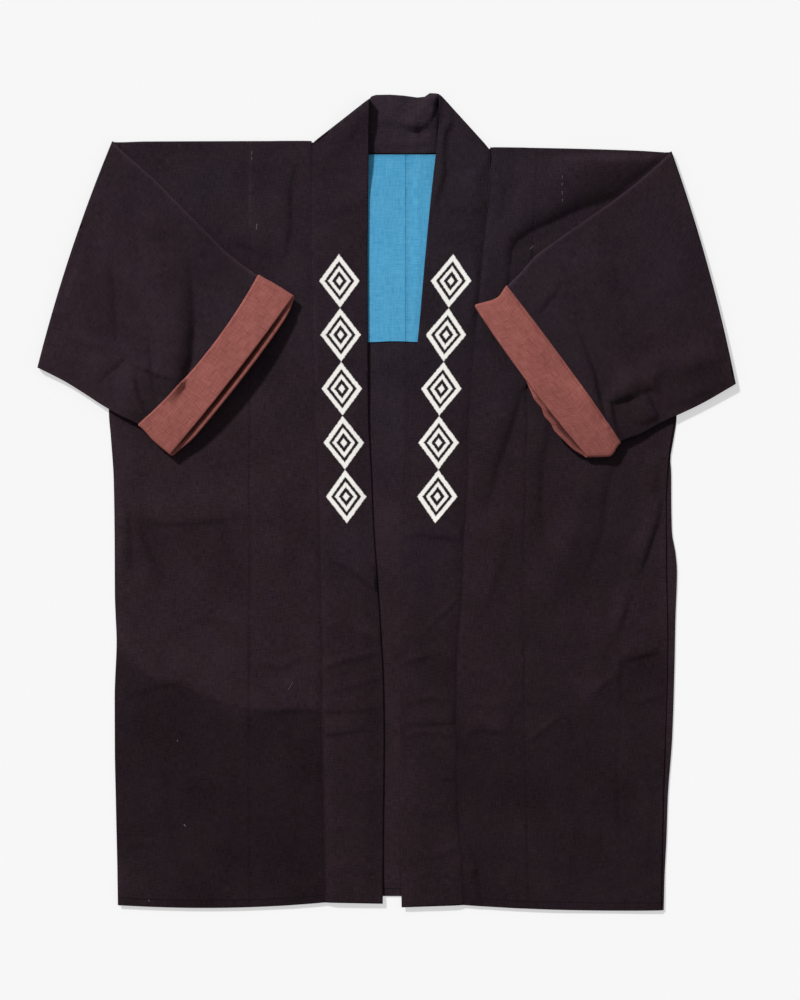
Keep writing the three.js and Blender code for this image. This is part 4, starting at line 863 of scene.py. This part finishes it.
# ------------------------------------------------------------------- the collar
# Sections behind the neck, from the left front's top to the right front's top.
NECK_SECTIONS = [
    dict(seam=(-85.8, 404.6), free=(-20.0, 419.0), z=BAND_Z + 0.7, turn=0.0),
    dict(seam=(-85.4, 409.0), free=(-19.6, 441.0), z=BAND_Z + 1.1, turn=0.0),
    dict(seam=(-83.4, 413.4), free=(-19.4, 462.6), z=BAND_Z + 1.2, turn=0.0, fold="left"),
    dict(seam=(-62.0, 408.4), free=(-18.4, 464.9), z=NECK_BAND_Z, turn=1.0),
    dict(seam=(-40.0, 404.0), free=(-17.0, 466.6), z=NECK_BAND_Z, turn=1.0),
    dict(seam=(-18.7, 400.9), free=(-12.0, 468.2), z=NECK_BAND_Z, turn=1.0),
    dict(seam=(0.0, 400.5), free=(4.0, 468.5), z=NECK_BAND_Z, turn=1.0),
    dict(seam=(22.1, 400.2), free=(20.0, 467.4), z=NECK_BAND_Z, turn=1.0),
    dict(seam=(36.0, 400.3), free=(36.0, 465.2), z=NECK_BAND_Z, turn=1.0),
    dict(seam=(48.0, 400.5), free=(44.0, 466.0), z=NECK_BAND_Z + 0.5, turn=1.0),
    dict(seam=(61.8, 400.9), free=(50.0, 470.2), z=NECK_BAND_Z + 0.2, turn=1.0),
    dict(seam=(81.0, 402.3), free=(56.5, 470.0), z=NECK_BAND_Z, turn=1.0),
    dict(seam=(100.0, 404.9), free=(60.4, 469.4), z=NECK_BAND_Z, turn=1.0),
    dict(seam=(117.4, 406.6), free=(62.0, 467.6), z=NECK_BAND_Z, turn=1.0, fold="right"),
    dict(seam=(118.6, 405.4), free=(61.4, 445.0), z=BAND_Z + 1.1, turn=0.0),
    dict(seam=(119.4, 402.0), free=(59.0, 418.0), z=BAND_Z + 0.7, turn=0.0),
]


def collar():
    sections = []          # seam, free, z, normal, along

    def front(side, y):
        outward = 1 if side == "left" else -1
        seam = (float(LINES[side + "Seam"](y)) - outward * 0.25, height_at(y, HEM[side + "Seam"], SHOULDER[side + "Seam"]))
        free = (float(LINES[side + "Free"](y)), height_at(y, HEM[side + "Free"], SHOULDER[side + "Free"]))
        z = BAND_Z + 0.7 * smooth((y - 330) / 70.0)
        z = lerp(HEM_Z + 1.0, z, smooth((y + 465) / 60.0))
        raised = 4.4 * smooth((y - 346) / 62.0) if side == "left" else 3.8 * smooth((y - 318) / 60.0)
        return seam, free, z, raised

    ys = np.linspace(LOW_Y, 396.0, 390)
    up = np.array([0.0, 0.0, 1.0])
    level = {s: front_z(s, LINES[s + "Seam"](ys) + (-1.5 if s == "left" else 1.5), height_at(ys, HEM[s + "Seam"], SHOULDER[s + "Seam"])) + CLOTH / 2
             for s in ("left", "right")}
    for y in ys:
        s, f, z, raised = front("left", y)
        sections.append((s, f, z, up, "left", raised))
    prev = None
    dense = []
    for i, cur in enumerate(NECK_SECTIONS):
        if prev is not None and not (prev.get("fold") == "left") and not (cur.get("fold") == "right" and False):
            steps = 10
            for t in np.arange(1, steps) / steps:
                if prev["turn"] == cur["turn"]:
                    dense.append(dict(seam=(lerp(prev["seam"][0], cur["seam"][0], t), lerp(prev["seam"][1], cur["seam"][1], t)),
                                      free=(lerp(prev["free"][0], cur["free"][0], t), lerp(prev["free"][1], cur["free"][1], t)),
                                      z=lerp(prev["z"], cur["z"], t), turn=cur["turn"]))
        dense.append(cur)
        prev = cur
    for s in dense:
        seam, free = np.array(s["seam"]), np.array(s["free"])
        if not s.get("fold"):
            raised = 0.0 if s["turn"] else (4.2 + 5.4 * float(smooth((free[1] - 408.0) / 50.0)) if seam[0] < 0 else 3.8)
            sections.append((s["seam"], s["free"], s["z"], up if s["turn"] == 0 else -up, "neck" if s["turn"] else "fan", raised))
            continue
        d = (free - seam) / np.hypot(*(free - seam))
        rising = s["fold"] == "right"
        out = np.array([d[1], -d[0]]) if rising else np.array([-d[1], d[0]])
        high = BAND_Z + 1.2
        rad, mid = (high - NECK_BAND_Z) / 2, (high + NECK_BAND_Z) / 2
        inset = rad + BAND_HALF
        for k in range(13):
            a = math.pi * k / 12
            c = -math.cos(a) if rising else math.cos(a)
            off = out * (rad * math.sin(a) - inset * 0.8)
            normal = np.array([out[0] * math.sin(a), out[1] * math.sin(a), c])
            full = 3.8 if rising else 9.6
            sections.append((tuple(seam + off), tuple(free + off), mid + rad * c, normal, "roll", full * (1 + c) / 2))
    for y in ys[::-1]:
        s, f, z, raised = front("right", y)
        sections.append((s, f, z, up, "right", raised))

    cols = 27
    us = (1 - np.cos(np.linspace(0, math.pi, cols))) / 2
    us = lerp(np.linspace(0, 1, cols), us, 0.6)
    us = np.concatenate([[0.0, 0.003], us[1:]])
    cols = len(us)
    pts, uv, uv2, shade, seam_d = [], [], [], [], []
    run = 0.0
    last = None
    count = len(sections)
    ring = cols * 2 - 2
    for s, f, z, n, kind, raised in sections:
        s2, f2 = np.array(s), np.array(f)
        mid = (s2 + f2) / 2
        if last is not None:
            run += float(np.hypot(*(mid - last)))
        last = mid
        width = float(np.hypot(*(f2 - s2)))
        x = lerp(s2[0], f2[0], us)
        y = lerp(s2[1], f2[1], us)
        e = np.clip(1 - np.abs(2 * us - 1) ** 9, 0, 1) ** 0.5
        # doubled cloth: full a little inside its edges, thin at the sewn side
        half = lerp(0.22, BAND_HALF, e)
        if kind in ("left", "right"):
            half = lerp(0.36, BAND_HALF, smooth(us * width / 7.0)) * np.where(us > 0.5, lerp(0.3, 1.0, e), 1.0)
        rel = np.zeros(cols)
        if kind in ("left", "right", "fan"):
            rel = relief(x, y, COLLAR_CREASES, wobble=1.5, seed=16) + undulation(x, y, 17, 0.22, 0.06)
        elif kind == "neck":
            rel = -(relief(x, y, NECK_CREASES, wobble=1.0, seed=18) + 0.10 * noise(x, y, 24.0, 19))
        rel = rel * smooth(us * width / 5.0) * smooth((1 - us) * width / 4.0)
        if kind == "neck":
            outer = np.minimum(half, z - 0.12)          # never below the ground
            inner = np.minimum(np.maximum(half - rel, 0.2), 8.4)
            rel_top, rel_bottom = outer, -inner
        else:
            rel_top, rel_bottom = half + rel, -half + 0.25 * rel
        on_left = (s2[0] + f2[0]) / 2 < 20
        dz = raised * (us ** 1.6 if on_left else 0.3 * us ** 2 + 0.7 * us ** 20)
        if kind in ("left", "right"):
            sewn = np.interp(s2[1], ys, level[kind]) + 0.12 - (z + half[0])
            dz = dz + sewn * (1 - smooth(us * width / 13.0)) * smooth((396.0 - s2[1]) / 14.0)
            # the free edge lies down on the back below the neck
            dz = dz - 2.0 * smooth((150.0 - s2[1]) / 110.0) * smooth((us * width - (width - 22.0)) / 20.0) * smooth((s2[1] + 466) / 40.0)
        for j in range(cols):
            pts.append((x[j] + n[0] * rel_top[j], y[j] + n[1] * rel_top[j], z + n[2] * rel_top[j] + (dz[j] if np.ndim(dz) else dz)))
        for j in range(cols - 2, 0, -1):
            pts.append((x[j] + n[0] * rel_bottom[j], y[j] + n[1] * rel_bottom[j], z + n[2] * rel_bottom[j] + (dz[j] if np.ndim(dz) else dz)))
        order = list(range(cols)) + list(range(cols - 2, 0, -1))
        seam_dark = 0.05 + (0.15 * float(smooth((40.0 - s2[1]) / 80.0)) if kind in ("left", "right") else 0.0)
        sh = shade_at(x, y) * (1 - seam_dark * np.exp(-(us * width / 1.5) ** 2)) * (1.28 if kind == "neck" else 1.0)
        for q, j in enumerate(order):
            top = q < cols
            uv.append(((us[j] * width) * MM + (0.0 if top else 0.2), run * MM))
            shade.append(sh[j])
            seam_d.append(us[j] * width * MM if kind in ("left", "right", "fan") else 1.0)
            if top and kind in ("left", "right"):
                a = (us[j] * width - MOTIF_FROM_SEAM) / MOTIF_HALF
                b = (MOTIF_TOP - y[j]) / MOTIF_PITCH
                uv2.append((a, b))
            else:
                uv2.append((9.0, -9.0))
    quads = grid_quads(count, ring, closed=True)
    caps = [tuple(range(ring - 1, -1, -1)), tuple(range((count - 1) * ring, count * ring))]
    ob_quads = quads.tolist()
    return pts, ob_quads, caps, uv, uv2, shade, seam_d


MOTIF_HALF = 23.5                       # half the figure's width
MOTIF_FROM_SEAM = 33.5                  # its middle from the collar's seam
MOTIF_PITCH = 62.0                      # one figure's height
MOTIF_TOP = at(0, 254.0)[1]             # top of the column


def collar_piece():
    pts, quads, caps, uv, uv2, shade, seam_d = collar()
    co = np.asarray(pts, float) * MM + SHIFT
    me = bpy.data.meshes.new("collar_cloth")
    ring = len(caps[0])
    faces = [tuple(q) for q in quads]
    # the hem ends are closed with small strips across the flat ring
    cols = (ring + 2) // 2
    for base, flip in ((0, True), ((len(pts) // ring - 1) * ring, False)):
        for j in range(cols - 1):
            a, b = base + j, base + j + 1
            c = base + (ring - j - 1) if j + 1 < cols - 1 else None
            d = base + (ring - j) if j > 0 else None
            if d is None:
                f = (a, b, base + ring - 1)
            elif c is None:
                f = (a, b, base + (ring - j))
            else:
                f = (a, b, c, d)
            faces.append(f if not flip else f[::-1])
    me.from_pydata(co.tolist(), [], faces)
    loops = np.empty(len(me.loops), np.int32)
    me.loops.foreach_get("vertex_index", loops)
    for label, values in (("cloth", uv), ("motif", uv2)):
        layer = me.uv_layers.new(name=label)
        layer.data.foreach_set("uv", np.asarray(values, np.float32)[loops].ravel())
    for label, values in (("shade", shade), ("seam", seam_d), ("tint", tint_at(*np.array(pts).T[:2]))):
        att = me.attributes.new(label, "FLOAT", "POINT")
        att.data.foreach_set("value", np.asarray(values, np.float32))
    me.polygons.foreach_set("use_smooth", np.ones(len(me.polygons), bool))
    me.materials.append(collar_mat)
    me.update()
    ob = bpy.data.objects.new("collar_cloth", me)
    bpy.context.scene.collection.objects.link(ob)
    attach(ob, "root")
    return ob


# ----------------------------------------------------------- sleeves and cuffs
def lift(name):
    return hermite(SLEEVE_LIFT, "k", name)


RISE, GAP, BELLY = lift("rise"), lift("gap"), lift("belly")
EDGE_STEPS = 5
ACROSS = 92


def ring_table():
    rows = []
    cs = np.linspace(0, 1, ACROSS)
    for c in cs:
        rows.append((c, 1.0, 0.0))
    for a in np.arange(1, EDGE_STEPS) * math.pi / EDGE_STEPS:
        rows.append((1.0, math.cos(a), math.sin(a)))
    for c in cs[::-1]:
        rows.append((c, -1.0, 0.0))
    for a in np.arange(1, EDGE_STEPS) * math.pi / EDGE_STEPS:
        rows.append((0.0, -math.cos(a), -math.sin(a)))
    return np.array(rows)


RING = ring_table()
CUFF_DROP = 3.9        # how far the lower layer's edge stays below the upper one's


class Sleeve:
    def __init__(self, side):
        self.side, self.spec = side, SLEEVES[side]
        for edge in ("top", "bottom"):
            rows = [dict(k=r["k"], x=r["p"][0], y=r["p"][1]) for r in self.spec[edge]]
            setattr(self, edge + "_x", hermite(rows, "k", "x"))
            setattr(self, edge + "_y", hermite(rows, "k", "y"))
        self.out_sign = self.spec["outward"]
        self.bow = hermite(self.spec["bow"], "k", "bow")
        self.pull = hermite(self.spec["pull"], "c", "reach")(RING[:, 0])

    def section(self, k, inset):
        top = np.array([float(self.top_x(k)), float(self.top_y(k))])
        bottom = np.array([float(self.bottom_x(k)), float(self.bottom_y(k))])
        d = (bottom - top) / np.hypot(*(bottom - top))
        n = np.array([d[1], -d[0]])
        if n[0] * self.out_sign < 0:
            n = -n
        return top + d * inset, bottom - d * inset, d, n

    def plan(self, k, c, inset):
        top, bottom, d, n = self.section(k, inset)
        b = 4 * c * (1 - c) * float(self.bow(k))
        x = lerp(top[0], bottom[0], c) + n[0] * b
        y = lerp(top[1], bottom[1], c) + n[1] * b
        return x, y, d, n

    def surface(self, x, y, c, k):
        edge = smooth(c / 0.05) * smooth((1 - c) / 0.05)
        rel = relief(x, y, self.spec["creases"], wobble=2.5, seed=self.spec["seed"]) + undulation(x, y, self.spec["seed"] + 1, 0.35, 0.08)
        return rel * edge * smooth(k / 0.35) * smooth((4.05 - k) / 0.8 + 0.25)

    def folded(self, k, off, forward=0.0):
        """Points round the tube at k, moved out from it by off."""
        c, h, e = RING[:, 0], RING[:, 1], RING[:, 2]
        gap = float(GAP(k))
        x, y, d, n = self.plan(k, c, gap / 2 + 0.9)
        belly = float(BELLY(k)) * np.sin(np.pi * c) ** 0.8
        z = SLEEVE_BASE + 2 * FOLD_RADIUS + float(RISE(k)) * (0.72 + 0.28 * np.sin(np.pi * c))
        rel = self.surface(x, y, c, k)
        up = gap / 2 + off + np.where(h < 0, belly + rel, 0.0) * np.abs(h)
        down = gap / 2 + off + np.where(h > 0, 0.15 * belly - 0.5 * rel, 0.0) * np.abs(h)
        zz = z + np.where(h < 0, -h * up, -h * down)
        reach = e * (gap / 2 + off)
        extra = self.pull * (1 + h) / 2 * smooth((k - 2.4) / 1.6) + forward
        # the lower layer curls up towards its open edge
        curl = np.maximum(0.0, gap + 1.15 * belly - CUFF_DROP) * smooth(self.pull / 6.0) * smooth((k - 3.70) / 0.30)
        zz = zz + curl * np.maximum(0.0, h)
        return np.stack([x + d[0] * reach - n[0] * extra, y + d[1] * reach - n[1] * extra, zz], -1)

    def lengths(self):
        """Distance along the sleeve for each k, for the cloth's own coordinates."""
        ks = np.linspace(0, 4, 81)
        mids = np.array([[(float(self.top_x(k)) + float(self.bottom_x(k))) / 2, (float(self.top_y(k)) + float(self.bottom_y(k))) / 2] for k in ks])
        run = np.concatenate([[0], np.cumsum(np.hypot(*(mids[1:] - mids[:-1]).T))])
        return lambda k: np.interp(k, ks, run)


def sleeve(side):
    sl = Sleeve(side)
    spec = sl.spec
    c, h, e = RING[:, 0], RING[:, 1], RING[:, 2]
    around = np.concatenate([[0], np.cumsum(np.abs(np.diff(c)) + 0.012 * (np.abs(np.diff(h)) > 0))]) * 245.0
    rows, uv, shade = [], [], []
    fold_gap = float(GAP(0))
    top, bottom, d0, n0 = sl.section(0, fold_gap / 2 + 0.6)
    reach = 0.45 * (FOLD_RADIUS + fold_gap / 2) + 0.3
    b0 = 4 * c * (1 - c) * float(sl.bow(0))
    fx = lerp(top[0], bottom[0], c) + n0[0] * (b0 - reach)
    fy = lerp(top[1], bottom[1], c) + n0[1] * (b0 - reach)
    ax = lerp(spec["armhole_top"][0], spec["armhole_bottom"][0], c)
    ay = lerp(spec["armhole_top"][1], spec["armhole_bottom"][1], c)
    total = sl.lengths()
    flat_rows = 16
    for i in range(flat_rows):
        t = i / flat_rows
        x, y = lerp(ax, fx, t), lerp(ay, fy, t)
        und = 0.2 * noise(x, y, 40.0, spec["seed"] + 7) * np.sin(np.pi * t) * np.sin(np.pi * c)
        z = SLEEVE_BASE + h * fold_gap / 2 + np.where(h > 0, np.abs(und), np.maximum(0.0, und))
        z = np.maximum(z, 0.32)
        rows.append(np.stack([x + d0[0] * e * fold_gap / 2, y + d0[1] * e * fold_gap / 2, z], -1))
        uv.append(np.stack([(np.abs(x - ax) - 90.0) * MM, around * MM], -1))
        shade.append(shade_at(x, y))
    steps = 12
    for i in range(steps + 1):
        a = math.pi * i / steps
        rad = FOLD_RADIUS - h * fold_gap / 2
        x = fx + n0[0] * 0.45 * rad * math.sin(a) + d0[0] * e * fold_gap / 2
        y = fy + n0[1] * 0.45 * rad * math.sin(a) + d0[1] * e * fold_gap / 2
        z = SLEEVE_BASE + FOLD_RADIUS - rad * math.cos(a)
        rows.append(np.stack([x, y, np.maximum(z, 0.32)], -1))
        uv.append(np.stack([np.full(len(c), (i * 0.9 - 6.0) * MM), around * MM], -1))
        shade.append(shade_at(x, y))
    ks = np.concatenate([np.linspace(0.04, 3.0, 92), np.linspace(3.05, 3.93, 15)])
    for k in ks:
        p = sl.folded(k, 0.0)
        if k < 0.35:                                    # leave the fold smoothly
            w = smooth(k / 0.35)
            flat_z = SLEEVE_BASE + 2 * FOLD_RADIUS - h * fold_gap / 2
            p[:, 2] = lerp(flat_z, p[:, 2], w)
        rows.append(p)
        uv.append(np.stack([np.full(len(c), (float(total(k)) + 6.0) * MM), around * MM], -1))
        # lighter lines along the sleeve's top fold edge and, fainter, its bottom one: worn cloth at the folds together
        # with a painted highlight
        edge = np.exp(-(c * 230.0 / 1.9) ** 2) + 0.3 * np.exp(-((1 - c) * 230.0 / 1.9) ** 2)
        shade.append(shade_at(p[:, 0], p[:, 1]) * (1.05 if side == "right" else 1.0) * (1 + 0.55 * edge))
    quads = grid_quads(len(rows), len(c), closed=True)
    points = np.concatenate(rows)
    return mesh_piece("sleeve_%s_cloth" % side, points, quads, np.concatenate(uv), sleeve_mat,
                      dict(shade=np.concatenate(shade), tint=tint_at(points[:, 0], points[:, 1])), CLOTH)


def cuff(side):
    sl = Sleeve(side)
    c = RING[:, 0]
    around = np.concatenate([[0], np.cumsum(np.abs(np.diff(c)) + 0.012 * (np.abs(np.diff(RING[:, 1])) > 0))]) * 235.0
    rows, uv, edge, shade = [], [], [], []
    OUT = 1.0
    run = 0.0
    lines = []
    for k in np.linspace(3.0, 4.0, 16):
        t = k - 3.0
        puff = 0.35 * math.exp(-(t / 0.12) ** 2) + 0.2 * math.sin(math.pi * t)
        lines.append((k, OUT + puff, 0.0))
    for a in np.linspace(0, math.pi, 9)[1:-1]:
        lines.append((4.0, OUT * math.cos(a), 1.3 * OUT * math.sin(a)))
    for k in np.linspace(4.0, 3.66, 15):
        lines.append((k, -OUT, 0.0))
    total = sl.lengths()
    length = 0.0
    prev = None
    for k, off, forward in lines:
        p = sl.folded(k, off, forward)
        if prev is not None:
            length += float(np.median(np.linalg.norm(p - prev, axis=1)))
        prev = p
        rows.append(p)
        uv.append(np.stack([np.full(len(c), length * MM), around * MM], -1))
        edge.append(np.full(len(c), length * MM))
        x, y = p[:, 0], p[:, 1]
        inside = off < 0
        # painted shade inside the cuff's mouth: the lower layer's inner face darker, darkest deep under the upper layer
        mouth_shade = lerp(0.86, 0.34, float(smooth((3.965 - k) / 0.085))) if inside else 1.0
        shade.append(mouth_shade * (0.935 if side == "right" else 0.985) * (1.0 + 0.04 * noise(x, y, 30.0, 51) + 0.05 * noise(x, y, 9.0, 52)))
    quads = grid_quads(len(rows), len(c), closed=True)
    return mesh_piece("cuff_%s_cloth" % side, np.concatenate(rows), quads, np.concatenate(uv), cuff_mat,
                      dict(shade=np.concatenate(shade), hem=np.concatenate(edge)), CLOTH)


# ------------------------------------------------------------ threads and lint
# Ends of old tacking thread along the press creases, and a few bits of lint.
THREADS = [
    dict(path=[at(252, 151), at(251.7, 155)], width=0.45), dict(path=[at(251.7, 157), at(251.6, 160)], width=0.4),
    dict(path=[at(257, 224), at(256.5, 230)], width=0.4),
    dict(path=[at(562, 176), at(561.9, 180)], width=0.35), dict(path=[at(561.8, 184), at(561.7, 187)], width=0.35),
    dict(path=[at(561.7, 192), at(561.9, 196)], width=0.35), dict(path=[at(562, 200), at(562, 203)], width=0.35),
    dict(path=[at(533, 246), at(530, 249)], width=0.4), dict(path=[at(184, 824.5), at(186, 827)], width=0.7),
    dict(path=[at(177, 740), at(178, 742)], width=0.5), dict(path=[at(148.5, 900), at(150, 902)], width=0.5),
    dict(path=[at(288, 690), at(293, 682)], width=0.35),
]


def threads():
    points, quads, uv = [], [], []
    for t in THREADS:
        path = np.array(t["path"], float)
        for a, b in zip(path[:-1], path[1:]):
            steps = max(2, int(np.hypot(*(b - a)) / 2.0) + 1)
            side = "left" if a[0] < 20 else "right"
            d = (b - a) / np.hypot(*(b - a))
            n = np.array([-d[1], d[0]]) * t["width"] / 2
            base = len(points)
            for i in range(steps + 1):
                p = lerp(a, b, i / steps)
                z = float(front_z(side, np.array([p[0]]), np.array([p[1]]))[0]) + CLOTH / 2
                for q, lift_z in ((-1, 0.02), (0, 0.28), (1, 0.02)):
                    points.append((p[0] + n[0] * q, p[1] + n[1] * q, z + lift_z))
                    uv.append((q * 0.001, i * 0.001))
            quads += grid_quads(steps + 1, 3, base).tolist()
    mat = plain_material("pale_thread", linear((110, 101, 105)))
    ob = mesh_piece("thread_ends", points, quads, uv, mat, thickness=0.15)
    return ob


# ---------------------------------------------------------------- build it all
bodies = {s: body(s) for s in ("left", "right")}
linings = {s: lining(s) for s in ("left", "right")}
collar_ob = collar_piece()
sleeves = {s: sleeve(s) for s in ("left", "right")}
cuffs = {s: cuff(s) for s in ("left", "right")}
thread_ob = threads()

for s in ("left", "right"):
    for group, node, slot in ((bodies, "body_", "dark_cotton"), (linings, "lining_", "blue_cotton"),
                              (sleeves, "sleeve_", "dark_cotton"), (cuffs, "cuff_", "brown_cotton")):
        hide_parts(node + s)
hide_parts("collar")

# ----------------------------------------------------- floor, light and camera
floor_me = bpy.data.meshes.new("floor")
floor_me.from_pydata([(-3, -3, 0), (3, -3, 0), (3, 3, 0), (-3, 3, 0)], [], [(0, 1, 2, 3)])
floor = bpy.data.objects.new("floor", floor_me)
bpy.context.scene.collection.objects.link(floor)
fg = Graph("floor_pale")
fg.shader.inputs["Base Color"].default_value = (0.40, 0.40, 0.40, 1)
fg.shader.inputs["Emission Color"].default_value = (1.0, 1.0, 1.0, 1)      # a lit white table
fg.shader.inputs["Emission Strength"].default_value = 0.505
fg.shader.inputs["Roughness"].default_value = 0.95
fg.shader.inputs["Specular IOR Level"].default_value = 0.0
floor_me.materials.append(fg.mat)


def sun(name, toward, angle, strength):
    data = bpy.data.lights.new(name, "SUN")
    data.angle = math.radians(angle)
    data.energy = strength
    ob = bpy.data.objects.new(name, data)
    bpy.context.scene.collection.objects.link(ob)
    x, y, z = toward
    ob.rotation_euler = (0.0, math.atan2(math.hypot(x, y), z), math.atan2(y, x))
    return ob


# a lamp far off at the upper left, 36 degrees above the floor
sun("key", (-0.502, 0.631, 0.588), 6.0, 3.75)
world = bpy.data.worlds.new("studio")
bpy.context.scene.world = world
world.use_nodes = True
world.node_tree.nodes["Background"].inputs["Color"].default_value = (1, 1, 1, 1)
world.node_tree.nodes["Background"].inputs["Strength"].default_value = 0.36

cam_data = bpy.data.cameras.new("camera")
cam_data.lens = 100.0
cam_data.sensor_width = 36.0
cam = bpy.data.objects.new("camera", cam_data)
bpy.context.scene.collection.objects.link(cam)
cx, cy = at(400.0, 500.0)
cam.location = (cx * MM + SHIFT[0], cy * MM + SHIFT[1], 1.150 * 100.0 / 36.0 + 0.004)
cam.rotation_euler = (0.0, 0.0, 0.0)
bpy.context.scene.camera = cam
bpy.context.scene.view_settings.view_transform = "Standard"
